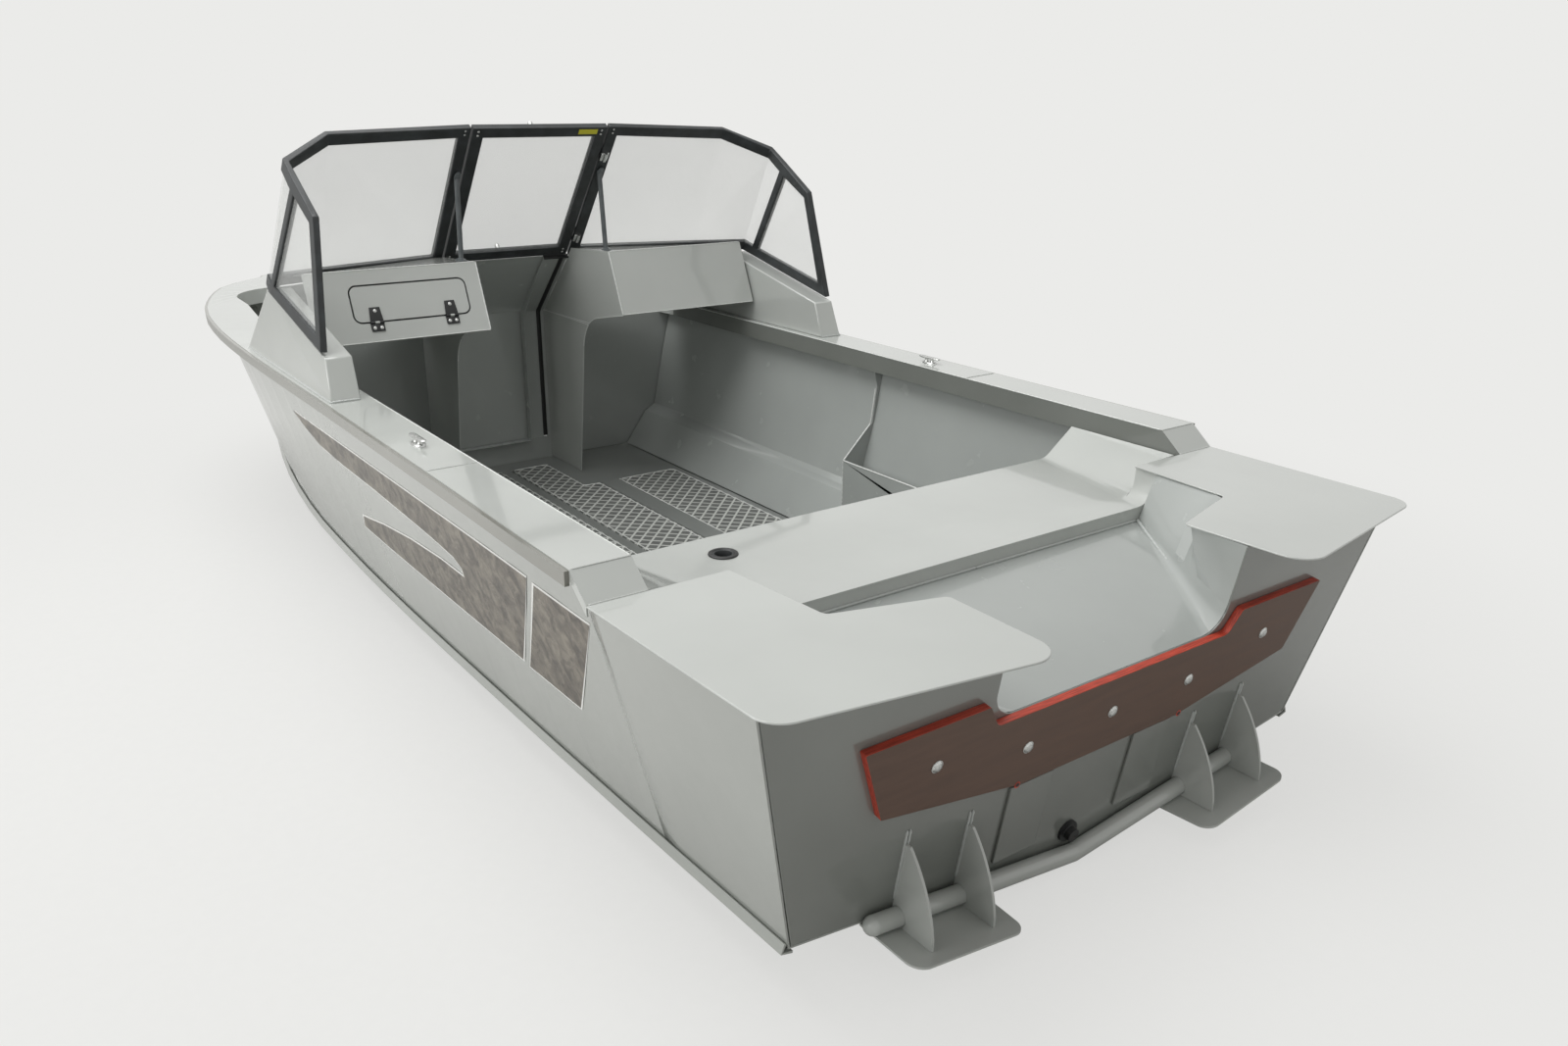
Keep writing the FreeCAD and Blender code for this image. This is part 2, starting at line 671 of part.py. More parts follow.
def side_rows():
    """Port side sheet: from chine up to the deck's underside, stepped down under the platform."""
    rows = []
    low_top = mm("platform_level") - mm("deck_plate") - 3 * mm("seam")
    chine_half, chine_height = chine_at(0)
    rows.append([Vector(0, chine_half, chine_height), Vector(transom_x(low_top), side_top_at(0), low_top)])
    front = mm("platform_front")
    crest = front + mm("step_run")
    stops = [front / 2, front, crest] + [x for x in hull_stations if x > crest + 40]
    for x in stops:
        half, height = chine_at(x)
        top = deck_edge_at(x)[1] - mm("deck_plate") if x > front else low_top
        rows.append([Vector(x, half, height), Vector(x, side_top_at(x), top)])
    for share, height, half in STEM:
        x = share * mm("hull_length")
        top = mm("deck_level") + mm("bow_rise") - mm("deck_plate")
        foot = height if height < top - 10 else top - 10
        rows.append([Vector(x, keel_half, foot), Vector(x, half * mm("half_beam"), top)])
    return rows


keel_half = mm("keel_bar") / 2
hull_bottom = feature("hull_bottom", folded_sheet(bottom_rows(), -plate))
side_sheet = folded_sheet(side_rows(), plate)
hull_sides = both_sides("hull_side", side_sheet, hull_bottom)


def transom_outline(inset, top):
    """Corners of the transom between the side sheets, from the port top round by the keel."""
    rake = mm("transom_rake")
    chine_half, chine_height = chine_at(0)
    half = mm("notch_half")
    radius = mm("notch_radius")
    flat = [
        (side_top_at(0) - inset, top, 0),
        (chine_half - inset, chine_height + 4, 0),
        (0, keel_at(0) + inset, 0),
        (inset - chine_half, chine_height + 4, 0),
        (inset - side_top_at(0), top, 0),
        (-half, top, 0),
        (-half, mm("notch_level"), radius),
        (half, mm("notch_level"), radius),
        (half, top, 0),
    ]
    corners = [Vector(transom_x(z), y, z) for y, z, r in flat]
    return corners, [r for y, z, r in flat]


corners, radii = transom_outline(6, mm("platform_level") - mm("deck_plate") - mm("seam"))
transom = feature(
    "transom", rounded_plate(corners, radii, Vector(plate, 0, 0)), hull_bottom, *hull_sides
)


def core_solid(inset):
    """The space inside the hull sheets, up to the decks, for trimming what stands in it."""
    rows = []
    for x in hull_stations:
        half, height = chine_at(x)
        top = deck_edge_at(x)[1] - mm("deck_plate")
        if x < mm("platform_front") + mm("step_run"):
            top = mm("platform_level") - mm("deck_plate")
        side = side_top_at(x) - inset
        low = half - inset
        floor = keel_at(x) + inset * 1.2
        rows.append([
            Vector(x + inset, side, top - 0.5), Vector(x + inset, low, height + inset),
            Vector(x + inset, 0, floor), Vector(x + inset, -low, height + inset),
            Vector(x + inset, -side, top - 0.5),
        ])
    faces = []
    count = len(rows[0])
    for i in range(len(rows) - 1):
        for j in range(count):
            k = (j + 1) % count
            faces += triangles(rows[i][j], rows[i + 1][j], rows[i + 1][k], rows[i][k], False)
    for row, flip in ((rows[0], False), (rows[-1], True)):
        for j in range(1, count - 1):
            faces += triangles(row[0], row[j], row[j + 1], row[j + 1], flip)
    return solid_of(faces)


core = core_solid(plate + 2)


def keel_rows():
    """Keel bar along the bottom and up the stem: outer edge, then the edge on the sheet."""
    runs = [(max(x, mm("tube_radius")), keel_at(x)) for x in hull_stations]
    runs += [(share * mm("hull_length"), height) for share, height, half in STEM]
    top = mm("deck_level") + mm("bow_rise") - mm("deck_plate") - 2
    return [(x, min(z, top)) for x, z in runs]


def keel_shape():
    """The bar as a ribbon in the middle plane, as wide as keel_bar."""
    line = [Vector(x, 0, z) for x, z in keel_rows()]
    outer = []
    for index, point in enumerate(line):
        along = line[min(index + 1, len(line) - 1)] - line[max(index - 1, 0)]
        down = Vector(along.z, 0, -along.x).normalize()
        outer.append(point + down * mm("keel_reach"))
    strip = Part.Face(Part.makePolygon(outer + list(reversed(line)) + [outer[0]]))
    strip.translate(Vector(0, -keel_half, 0))
    return strip.extrude(Vector(0, 2 * keel_half, 0))


keel = feature("keel", keel_shape())


def chine_rail_shape():
    """Chine rail: a flat strip laid along the chine, outside bottom and side sheets."""
    width = mm("chine_rail")
    rows = []
    for x in hull_stations[:-1]:
        half, height = chine_at(x)
        rows.append([
            Vector(x, half - width * 0.4, height - 7),
            Vector(x, half + width * 0.45, height - 3),
            Vector(x, half + 4, height + width * 0.5),
        ])
    return folded_sheet(rows, -5)


rail_shape = chine_rail_shape()
chine_rails = feature(
    "chine_rails", Part.makeCompound([rail_shape, mirrored(rail_shape)]), hull_bottom, keel,
    *hull_sides
)



# Decks

deck = mm("deck_plate")
sheet_gap = mm("seam")
cockpit_edge = mm("half_beam") - mm("side_deck_width")
deck_split = mm("fairing_side") + 40
lip = 22


def deck_section(x, z, edge, inner):
    """One section of a side deck: lip, outer edge, cockpit edge and flange."""
    return [
        Vector(x, edge, z - lip), Vector(x, edge, z),
        Vector(x, inner, z), Vector(x, inner, z - mm("deck_flange")),
    ]


def side_deck_rows():
    """Side deck with the slope up from the platform at its aft end."""
    front = mm("platform_front")
    crest = front + mm("step_run")
    rows = []
    stops = [front + sheet_gap, crest] + [
        x for x in hull_stations if crest + 60 < x < deck_split - 60
    ] + [deck_split - sheet_gap]
    for x in stops:
        edge, level = deck_edge_at(x)
        if x < crest:
            level = mm("platform_level")
        rows.append(deck_section(x, level, edge, cockpit_edge))
    return rows


side_decks = both_sides("side_deck", folded_sheet(side_deck_rows(), deck), *hull_sides)


def bow_half_rows():
    """Port half of the bow deck: from the side deck round to the centreline."""
    rows = []
    corner = mm("well_radius")
    last_x = last_share * mm("hull_length")
    tip = mm("hull_length") + mm("bow_reach")
    front = mm("well_front")
    well = mm("well_edge")
    straight = [x for x in hull_stations if deck_split + 60 < x < front - 2 * corner]
    for x in [deck_split + sheet_gap] + straight:
        edge, level = deck_edge_at(x)
        inner = cockpit_edge + (well - cockpit_edge) * (x - deck_split) / (front - 2 * corner - deck_split)
        rows.append(deck_section(x, level, edge, inner))
    for turn in spread(0, 90, 7):
        angle = math.radians(turn)
        x = front - 2 * corner + (last_x - front + 2 * corner) * turn / 90
        edge, level = deck_edge_at(x)
        inner_x = front - corner + corner * math.sin(angle)
        inner_y = well - corner + corner * math.cos(angle)
        rows.append([
            Vector(x, edge, level - lip), Vector(x, edge, level),
            Vector(inner_x, inner_y, level), Vector(inner_x, inner_y, level - mm("deck_flange")),
        ])
    edge, level = deck_edge_at(last_x)
    for turn in spread(0, 90, 7)[1:]:
        angle = math.radians(turn)
        x = last_x + (tip - last_x) * math.sin(angle)
        y = edge * math.cos(angle)
        inner_y = (well - corner) * (1 - turn / 90)
        rows.append([
            Vector(x, y, level - lip), Vector(x, y, level),
            Vector(front, inner_y, level), Vector(front, inner_y, level - mm("deck_flange")),
        ])
    return rows


def both_halves(rows):
    """Rows from port round to starboard; the last row given lies on the centreline."""
    other = [[Vector(p.x, -p.y, p.z) for p in row] for row in reversed(rows[:-1])]
    return rows + other


bow_sheet = folded_sheet(both_halves(bow_half_rows()), deck)
bow_deck = feature("bow_deck", bow_sheet, keel, *hull_sides)

outer = sizes.half_beam + 3
platform_corners = [
    (sizes.platform_front, outer),
    (-sizes.platform_corner, sizes.half_beam - 11),
    (-sizes.platform_tail, sizes.platform_gap),
    (sizes.platform_neck, sizes.platform_gap - 6),
    (sizes.platform_well, sizes.platform_inner - 3),
    (sizes.platform_front, sizes.platform_bench),
]
platform_radii = (
    None, sizes.platform_radius, sizes.platform_radius, sizes.neck_radius, sizes.neck_radius, None,
)
platforms = []
for side, sign in SIDES:
    platforms.append(plan_plate(
        "platform_" + side, [(x, y * sign) for x, y in platform_corners], sizes.deck_plate,
        sizes.platform_level - sizes.deck_plate, platform_radii,
    ))


def rub_rail_shape():
    """Rub rail outside the deck's lip, round the bow from quarter to quarter."""
    rows = []
    for section in both_halves(side_deck_rows()[1:] + bow_half_rows()):
        edge = section[1]
        rows.append([
            Vector(edge.x, edge.y, edge.z - 2),
            Vector(edge.x, edge.y, edge.z - 2 - mm("rub_height")),
        ])
    return folded_sheet(rows, mm("rub_depth"))


rub_rail = feature("rub_rail", rub_rail_shape(), bow_deck, *side_decks, *hull_sides)

# Stern well and bench

inner_plate = mm("liner_plate")
under_deck = mm("platform_level") - deck - sheet_gap


def bench_shape():
    """Bench: flat middle, ends bent up to the deck, folds down fore and aft."""
    level = mm("bench_level")
    aft = mm("bench_aft")
    front = mm("bench_front")
    half_aft = mm("bench_half_aft")
    half_front = mm("bench_half_front")
    inside = mm("platform_bench") + 4
    edge = cockpit_edge - 6
    step = mm("platform_front")

    def section(x):
        part = (x - aft) / (front - aft)
        corner = Vector(x, half_aft + (half_front - half_aft) * part, level)
        bend = mm("bench_bend_aft") + (mm("bench_bend_front") - mm("bench_bend_aft")) * part
        top = Vector(x, inside if x <= step else edge, under_deck)
        start = corner + (top - corner).normalize() * bend
        finish = corner - Vector(0, bend, 0)
        half = [top]
        for turn in (0, 0.25, 0.5, 0.75, 1):
            half.append(start * (1 - turn) ** 2 + corner * 2 * turn * (1 - turn) + finish * turn ** 2)
        return half + [Vector(p.x, -p.y, p.z) for p in reversed(half)]

    stops = [aft, (aft + step) / 2, step - 2, step + 14, (step + front) / 2, front]
    rows = [section(x) for x in stops]
    sheet_part = folded_sheet(rows, inner_plate)
    tucked = [Vector(aft, p.y + math.copysign(0.8, p.y), p.z - 1) for p in rows[0]]
    tray = mm("well_half")
    shoulder = level - mm("bench_lip") / 2
    aft_fold = prism(tucked + [
        Vector(aft, -inside - 1, shoulder), Vector(aft, -tray, mm("well_level")),
        Vector(aft, tray, mm("well_level")), Vector(aft, inside + 1, shoulder),
    ], Vector(inner_plate, 0, 0))
    front_fold = prism([
        Vector(front, half_front - 20, level), Vector(front, 20 - half_front, level),
        Vector(front, 35 - half_front, level - mm("bench_lip")),
        Vector(front, half_front - 35, level - mm("bench_lip")),
    ], Vector(-inner_plate, 0, 0))
    return sheet_part.fuse([aft_fold, front_fold])


socket_cut = Part.makeCylinder(
    mm("socket_bore") + 6, 60,
    Vector(mm("socket_station"), mm("socket_offset"), mm("bench_level") - 30),
)
aft_bench = feature("aft_bench", bench_shape().cut(socket_cut), *hull_sides, *side_decks)


def well_shape():
    """Splash well: a tray that falls from the bench to the notch, with side walls.

    The tray's edges run straight; the walls' tops follow the platforms' inner edges.
    """
    notch = mm("notch_half")
    low = mm("notch_level")
    front = mm("bench_aft") - sheet_gap
    neck = mm("platform_neck")
    middle = mm("platform_well")
    tuck = 4
    aft_x = transom_x(low) + plate + sheet_gap
    aft_top = transom_x(under_deck) + plate + sheet_gap
    inside = mm("platform_inner") + tuck
    tops = [
        (aft_top, notch + tuck), ((aft_top + neck) / 2, notch + tuck + 2), (neck - 14, notch + tuck + 6),
        (neck + 12, notch + (inside - notch) * 0.26), ((neck + middle) / 2, notch + (inside - notch) * 0.6),
        (middle + 2, inside - 12), (middle + 34, inside), (front, mm("platform_bench") + 2),
    ]
    rows = []
    for (top_x, top_y), share in zip(tops, (0, 0.14, 0.28, 0.37, 0.46, 0.56, 0.68, 1)):
        x = aft_x + (front - aft_x) * share
        y = notch + (mm("well_half") - notch) * share
        z = low + (mm("well_level") - low) * share
        curve = mm("notch_radius") * (1 - share) + 8 * share
        rake = (top_x - x) / (under_deck - z)
        half = [Vector(top_x, top_y, under_deck)]
        for turn in spread(0, math.pi / 2, 5):
            rise = curve - curve * math.sin(turn)
            half.append(Vector(x + rake * rise, y - curve + curve * math.cos(turn), z + rise))
        half.insert(1, (half[0] + half[1]) * 0.5)
        rows.append(half + [Vector(p.x, -p.y, p.z) for p in reversed(half)])
    return folded_sheet(rows, inner_plate)


splash_well = feature("splash_well", well_shape(), aft_bench, transom, *platforms)

# Cockpit

floor = plan_plate(
    "floor",
    [
        (as_size(60), -sizes.floor_half), (sizes.floor_front - 4, -sizes.floor_half),
        (sizes.floor_front - 4, sizes.floor_half), (as_size(60), sizes.floor_half),
    ],
    sizes.deck_plate, sizes.floor_level - sizes.deck_plate,
)
NODES.remove(floor)
floor.Label = "floor_blank"
doc.recompute()
rails = []
for sign in (1, -1):
    rails.append(block(
        "floor_rail_%d" % (sign + 1), sizes.tread_side_front - sizes.tread_aft, sizes.rail_width,
        sizes.rail_height, sizes.tread_aft,
        sizes.rail_offset * sign - sizes.rail_width / 2, sizes.floor_level,
    ))
doc.recompute()
cockpit_floor = feature(
    "floor", floor.Shape.common(core).fuse([rail.Shape for rail in rails])
)

rail_clear = sizes.rail_width / 2 + 1
tread_inner = sizes.rail_offset + rail_clear
tread_outer = sizes.floor_half - sizes.tread_margin
tread_middle = sizes.rail_offset - rail_clear
# Tread panels on the port side: name, first station, last station, inner and outer edge
TREADS = (
    ("side", sizes.tread_aft, sizes.tread_side_front, tread_inner, tread_outer),
    ("middle", sizes.tread_aft, sizes.tread_side_front, sizes.tread_middle, tread_middle),
    ("neck", sizes.tread_side_front, sizes.tread_front, sizes.tread_middle, sizes.tread_neck),
)
tread_blocks = {
    place: block("tread_" + place, last - first, wide - narrow, sizes.tread_plate, first, narrow,
                 sizes.floor_level)
    for place, first, last, narrow, wide in TREADS
}
doc.recompute()
middle_panel = tread_blocks["middle"].Shape.fuse(tread_blocks["neck"].Shape).removeSplitter()
port_panels = [tread_blocks["side"].Shape, middle_panel]
tread_panels = feature(
    "tread_panels", Part.makeCompound(port_panels + [mirrored(panel) for panel in port_panels])
)


def liner_rows():
    """Port liner from under the deck down over its fold to the floor."""
    rows = []
    gap = mm("liner_gap")
    shelf = mm("shelf_level")
    rise = shelf + 28
    top = mm("deck_level") - deck - 4
    for x in spread(mm("bench_front") + 2, mm("floor_front") - 6, 10):
        upper = side_at(x, top) - gap
        middle_z = (top + rise) / 2
        rows.append([
            Vector(x, upper, top), Vector(x, side_at(x, middle_z) - gap + 2, middle_z),
            Vector(x, mm("shelf_half") + mm("shelf_run"), rise),
            Vector(x, mm("shelf_half"), shelf), Vector(x, mm("floor_half") + 3, mm("floor_level") + 1),
        ])
    return rows


liner_sheet = folded_sheet(liner_rows(), -inner_plate).common(core)
liners = both_sides("liner", liner_sheet, cockpit_floor, *side_decks)


def pocket_shape():
    """Side pocket: a rib across the side and a low panel back to the bench."""
    rib_x = mm("rib_station")
    top = mm("deck_level") - mm("deck_flange")
    panel = mm("pocket_half")
    level = mm("pocket_level")
    outer_y = cockpit_edge + 72
    rib = prism([
        Vector(rib_x, outer_y, top + 40), Vector(rib_x, cockpit_edge + 5, top + 40),
        Vector(rib_x, cockpit_edge + 5, top + 20), Vector(rib_x, cockpit_edge + 25, top - 60),
        Vector(rib_x, cockpit_edge + 8, top - 180), Vector(rib_x, panel, level),
        Vector(rib_x, panel, mm("shelf_level") - 30), Vector(rib_x, outer_y, mm("shelf_level") - 30),
    ], Vector(-inner_plate, 0, 0))
    side = prism([
        Vector(rib_x, panel, level), Vector(mm("bench_front") + 1, panel, level),
        Vector(mm("bench_front") + 1, panel, mm("shelf_level") - 70),
        Vector(rib_x, panel, mm("shelf_level") - 70),
    ], Vector(0, inner_plate, 0))
    return rib.fuse(side)


pockets = []
for (side, sign), liner in zip(SIDES, liners):
    piece = pocket_shape().common(core)
    if sign < 0:
        piece = mirrored(piece)
    piece = piece.cut(liner.Shape).cut(side_decks[0].Shape).cut(side_decks[1].Shape)
    kept = max(piece.Solids, key=lambda solid: solid.BoundBox.DiagonalLength)
    pockets.append(feature("side_pocket_" + side, kept))

# Consoles, bulkheads and passage

face_slope = Vector(mm("console_lean"), 0, mm("console_high") - mm("console_low"))


def on_face(y, height):
    """A point on the console face's aft side at a height."""
    share = (height - mm("console_low")) / (mm("console_high") - mm("console_low"))
    return Vector(mm("console_aft") + face_slope.x * share, y, height)


def foot_at(y):
    """The windshield's foot line at a half width: ahead at the passage, aft at the sides."""
    share = (y - mm("window_half")) / (mm("screen_side_half") - mm("window_half"))
    x = mm("screen_foot") + (mm("screen_foot_side") - mm("screen_foot")) * share
    return Vector(x, y, mm("screen_level"))


def bar_line_at(y):
    """The upper edge of the windshield's lower bar at a half width, a seam inside it."""
    share = (y - mm("window_half")) / (mm("screen_side_half") - mm("window_half"))
    middle_up = Vector(-mm("screen_rake"), 0, mm("screen_rise")).normalize()
    side_up = Vector(
        -mm("screen_corner_run"), -mm("screen_tumble"), mm("screen_corner_level") - mm("screen_level")
    ).normalize()
    up = (middle_up * (1 - share) + side_up * share) * mm("frame_bar")
    return foot_at(y) + Vector(up.x - 1.5, 0, up.z)


def lid_corners(gap):
    """Corners of the glovebox opening on the face, shrunk by a gap."""
    return [
        on_face(mm("glovebox_inner") + gap, mm("glovebox_low") + gap),
        on_face(mm("glovebox_outer") - gap, mm("glovebox_low") + gap),
        on_face(mm("glovebox_outer") - gap, mm("glovebox_high") - gap),
        on_face(mm("glovebox_inner") + gap, mm("glovebox_high") - gap),
    ]


face_normal = Vector(face_slope.z, 0, -face_slope.x).normalize()
wall_y = mm("passage_half")


def console_shape(with_box):
    """Port console: raked face, top sloping down to the windshield, wall beside the passage."""
    face_corners = [
        on_face(wall_y, mm("console_low")), on_face(mm("console_half"), mm("console_low")),
        on_face(mm("console_half"), mm("console_high")), on_face(wall_y, mm("console_high")),
    ]
    holes = []
    if with_box:
        radius = mm("lid_radius") + mm("lid_gap")
        holes.append((lid_corners(0), [radius] * 4))
    face = rounded_plate(face_corners, [0] * 4, face_normal * inner_plate, holes)
    top = folded_sheet([
        [on_face(wall_y, mm("console_high")), on_face(mm("console_half"), mm("console_high"))],
        [bar_line_at(wall_y), bar_line_at(mm("console_half"))],
    ], -inner_plate)
    knee_top = Vector(mm("console_aft") + mm("knee_depth") * 0.77, wall_y, mm("console_low") - 60)
    foot_level = mm("floor_level") + mm("tread_plate") + sheet_gap
    knee_foot = Vector(mm("console_aft") + mm("knee_depth"), wall_y, foot_level)
    wall_corners = [
        on_face(wall_y, mm("console_high")), on_face(wall_y, mm("console_low")), knee_top, knee_foot,
        Vector(mm("floor_front") - 3, wall_y, foot_level),
        Vector(mm("floor_front") - 3, wall_y, mm("deck_level")), foot_at(wall_y), bar_line_at(wall_y),
    ]
    radii = [0, 0, mm("knee_radius"), 0, 0, 0, 0, 0]
    wall = rounded_plate(wall_corners, radii, Vector(0, inner_plate, 0))
    return face.fuse([top, wall])


consoles = [
    feature("console_port", console_shape(True), cockpit_floor),
    feature("console_starboard", mirrored(console_shape(False)), cockpit_floor),
]


def bulkhead_shape():
    """Knee bulkhead across the hull at the front of the cockpit, port half."""
    x = mm("floor_front")
    low = mm("floor_level")
    top = mm("deck_level") - deck - sheet_gap
    reach = mm("half_beam")
    return prism([
        Vector(x, wall_y, low), Vector(x, reach, low), Vector(x, reach, top), Vector(x, wall_y, top),
    ], Vector(-inner_plate, 0, 0)).common(core)


bulkhead_sheet = bulkhead_shape()
bulkheads = both_sides("bulkhead", bulkhead_sheet, cockpit_floor, bow_deck, *liners, *consoles)


def fairing_shape():
    """Fairing from the windshield's foot down to the bow deck, port half."""
    foot_side = Vector(mm("fairing_side"), mm("half_beam") - 14, mm("deck_level"))
    foot_mid = Vector(mm("floor_front"), wall_y, mm("deck_level"))
    head_side = foot_at(mm("screen_side_half"))
    head_mid = foot_at(wall_y)
    rows = []
    for part in spread(0, 1, 5):
        rows.append([
            head_mid + (head_side - head_mid) * part, foot_mid + (foot_side - foot_mid) * part,
        ])
    return folded_sheet(rows, inner_plate)


def coaming_shape():
    """Port coaming under the side window: a closed box of sheet with a raked aft end."""
    foot_y = mm("half_beam") - 12
    top_y = foot_y - mm("coaming_lean")
    inner_y = mm("coaming_inner")
    base = mm("deck_level")
    aft = mm("coaming_aft")
    head = foot_at(mm("screen_side_half"))
    end = mm("fairing_side")
    profile = [
        (aft - mm("coaming_slant"), base), (aft, mm("coaming_level")),
        (head.x, mm("coaming_head") + 20), (end, base),
    ]
    outer_side = [
        Vector(x, foot_y if z == base else top_y, z) for x, z in profile
    ]
    inner_side = [Vector(x, inner_y, z) for x, z in profile]
    faces = []
    count = len(profile)
    for j in range(count):
        k = (j + 1) % count
        faces += triangles(outer_side[j], outer_side[k], inner_side[k], inner_side[j], False)
    faces += triangles(outer_side[0], outer_side[1], outer_side[2], outer_side[3], True)
    faces += triangles(inner_side[0], inner_side[1], inner_side[2], inner_side[3], False)
    return solid_of(faces)


coamings = both_sides("coaming", coaming_shape(), *side_decks, bow_deck, *consoles)
fairings = both_sides("fairing", fairing_shape(), *coamings, *consoles, bow_deck, *side_decks)

# Windshield

bar = mm("frame_bar")
bar_deep = mm("frame_deep")
post_half = mm("window_half") + mm("window_gap") + 1
foot_side = Vector(mm("screen_foot_side"), mm("screen_side_half") + 3, mm("screen_level") + 3)
corner = Vector(mm("screen_corner"), mm("screen_corner_half"), mm("screen_corner_level"))
bend = Vector(mm("screen_top") - 15, mm("screen_bend_half"), mm("screen_bend_level"))
side_foot = Vector(mm("screen_aft"), mm("screen_side_half"), mm("coaming_level") + 12)
side_bend = Vector(mm("screen_low"), mm("screen_corner_half") - 3, mm("screen_low_level"))


def screen_line(y):
    """Foot and head of the flat middle of the windshield at a half width."""
    foot = Vector(mm("screen_foot"), y, mm("screen_level"))
    return foot, Vector(mm("screen_top"), y, mm("screen_height"))


def with_bars(points, widths):
    """An edge's points with each bar's width marked off; widths is (first, last)."""
    start = points[0] + (points[1] - points[0]).normalize() * widths[0]
    finish = points[-1] + (points[-2] - points[-1]).normalize() * widths[1]
    return [points[0], start] + points[1:-1] + [finish, points[-1]]


def pane_grid(feet, heads):
    """Grid over panes from their edges, with a bar's width marked off below and above."""
    rows = []
    for foot, head in zip(feet, heads):
        up = (head - foot).normalize()
        rows.append([foot, foot + up * bar, head - up * bar, head])
    return rows


def frame_and_panes(rows, spans):
    """The frame round a grid's edge and the panes inside; spans are the panes' rows."""
    openings = [(first, 1, last, 2) for first, last in spans]
    frame = sheet_between(rows, offset_rows(rows, bar_deep), openings)
    low = (bar_deep - mm("glass_thick")) / 2
    near = offset_rows(rows, low)
    far = offset_rows(rows, low + mm("glass_thick"))
    panes = []
    for first, last in spans:
        pane = sheet_between(
            [row[1:3] for row in near[first:last + 1]], [row[1:3] for row in far[first:last + 1]]
        )
        panes.append(max(pane.cut(frame).Solids, key=lambda solid: solid.Volume))
    return frame, panes


foot_mid, head_mid = screen_line(post_half)
foot_bend = foot_mid + (foot_side - foot_mid) * ((bend.y - foot_mid.y) / (foot_side.y - foot_mid.y))
side_run = (side_foot - foot_side).normalize()
side_fall = (side_bend - corner).normalize()
brace_foot = foot_side + side_run * mm("brace_foot_run")
brace_head = corner + side_fall * mm("brace_head_run")
half_brace = mm("brace_width") / 2
front_feet = with_bars([foot_mid, foot_bend, foot_side, brace_foot], (bar, half_brace))
front_heads = with_bars([head_mid, bend, corner, brace_head], (bar, half_brace))
side_feet = with_bars([brace_foot, side_foot], (half_brace, bar))
side_heads = with_bars([brace_head, side_bend], (half_brace, bar))
screen_rows = pane_grid(front_feet[:-1] + side_feet[1:], front_heads[:-1] + side_heads[1:])
last_row = len(screen_rows) - 1
front_last = len(front_feet) - 2
frame_shape, pane_shapes = frame_and_panes(screen_rows, [(1, front_last), (front_last + 1, last_row - 1)])
frames = both_sides("windshield_frame", frame_shape)
panes = both_sides("windshield_glass", Part.makeCompound(pane_shapes))

# Opening window in the middle, hinged on the starboard post

screen_up = (screen_line(0)[1] - screen_line(0)[0]).normalize()
screen_out = Vector(screen_up.z, 0, -screen_up.x)
knuckle_gap = 1
# Radial play of a pin in its knuckle
PIN_PLAY = 0.08


def knuckles(foot, along, length, parts, radius, bore):
    """Every second knuckle of a hinge, starting at the first; parts is (count, first)."""
    count, first = parts
    step = length / count
    found = []
    for index in range(first, count, 2):
        start = foot + along * (step * index + knuckle_gap / 2)
        knuckle = round_bar(start, start + along * (step - knuckle_gap), radius)
        if bore:
            knuckle = knuckle.cut(round_bar(start - along, start + along * step, bore))
        found.append(knuckle)
    return found


def hinge(foot, along, length, leaf_side, leaf_out, leaf, radius):
    """A butt hinge's fixed and moving halves.

    leaf_side points from the pin to the moving leaf, leaf_out is the leaves' outward normal,
    and leaf is (width, distance of the leaf's face from the pin, thickness).
    """
    width, drop, thick = leaf
    pin = radius * 0.4
    fixed = knuckles(foot, along, length, (3, 0), radius, 0)
    fixed.append(round_bar(foot + along, foot + along * (length - 1), pin))
    moving = knuckles(foot, along, length, (3, 1), radius, pin + PIN_PLAY)
    step = length / 3
    for index, halves, side in ((0, fixed, -1), (2, fixed, -1), (1, moving, 1)):
        start = foot + along * (step * index + knuckle_gap / 2)
        run = along * (step - knuckle_gap)
        near = start - leaf_out * drop + leaf_side * (side * pin * 1.5)
        tab = prism([near, near + run, near + run + leaf_side * (side * width),
                     near + leaf_side * (side * width)], leaf_out * thick)
        halves.append(tab)
    bore = round_bar(foot, foot + along * length, pin + PIN_PLAY)
    moving_half = moving[0].fuse(moving[1:]).cut(bore)
    return fixed[0].fuse(fixed[1:]), moving_half


leaf_drop = mm("hinge_radius")
window_pin = Vector(0, -post_half + 3, 0) + screen_out * (bar_deep + leaf_drop)
window_foot = screen_line(0)[0] + window_pin
window_hinges = [
    hinge(window_foot + screen_up * start, screen_up, 66, Vector(0, 1, 0), screen_out,
          (26, leaf_drop, 2), mm("hinge_radius"))
    for start in (60, 445)
]
window_low, window_high = screen_line(mm("window_half"))
window_low = window_low + screen_up * mm("window_gap")
window_high = window_high - screen_up * 2
other = Vector(0, -2 * mm("window_half"), 0)
window_rows = pane_grid(
    with_bars([window_low + other, window_low], (bar, bar)),
    with_bars([window_high + other, window_high], (bar, bar)),
)
window_frame, window_panes = frame_and_panes(window_rows, [(1, 2)])
window_leaves = [moving for fixed, moving in window_hinges]
centre_frame = feature("window_frame", window_frame.fuse(window_leaves))
centre_pane = feature("window_glass", window_panes[0], centre_frame)
window_fixed = feature(
    "window_hinges", Part.makeCompound([fixed for fixed, moving in window_hinges]), *frames
)


def strut_shape():
    """Port strut from the console's top to the windshield's post."""
    foot = Vector(mm("strut_foot"), mm("strut_offset"), mm("console_low") + 150)
    head = Vector(mm("strut_foot") + 9, mm("strut_offset") - 12, mm("strut_head"))
    rod = round_bar(foot, head, mm("strut_radius")).cut(frames[0].Shape).cut(consoles[0].Shape)
    return max(rod.Solids, key=lambda solid: solid.BoundBox.ZMax)


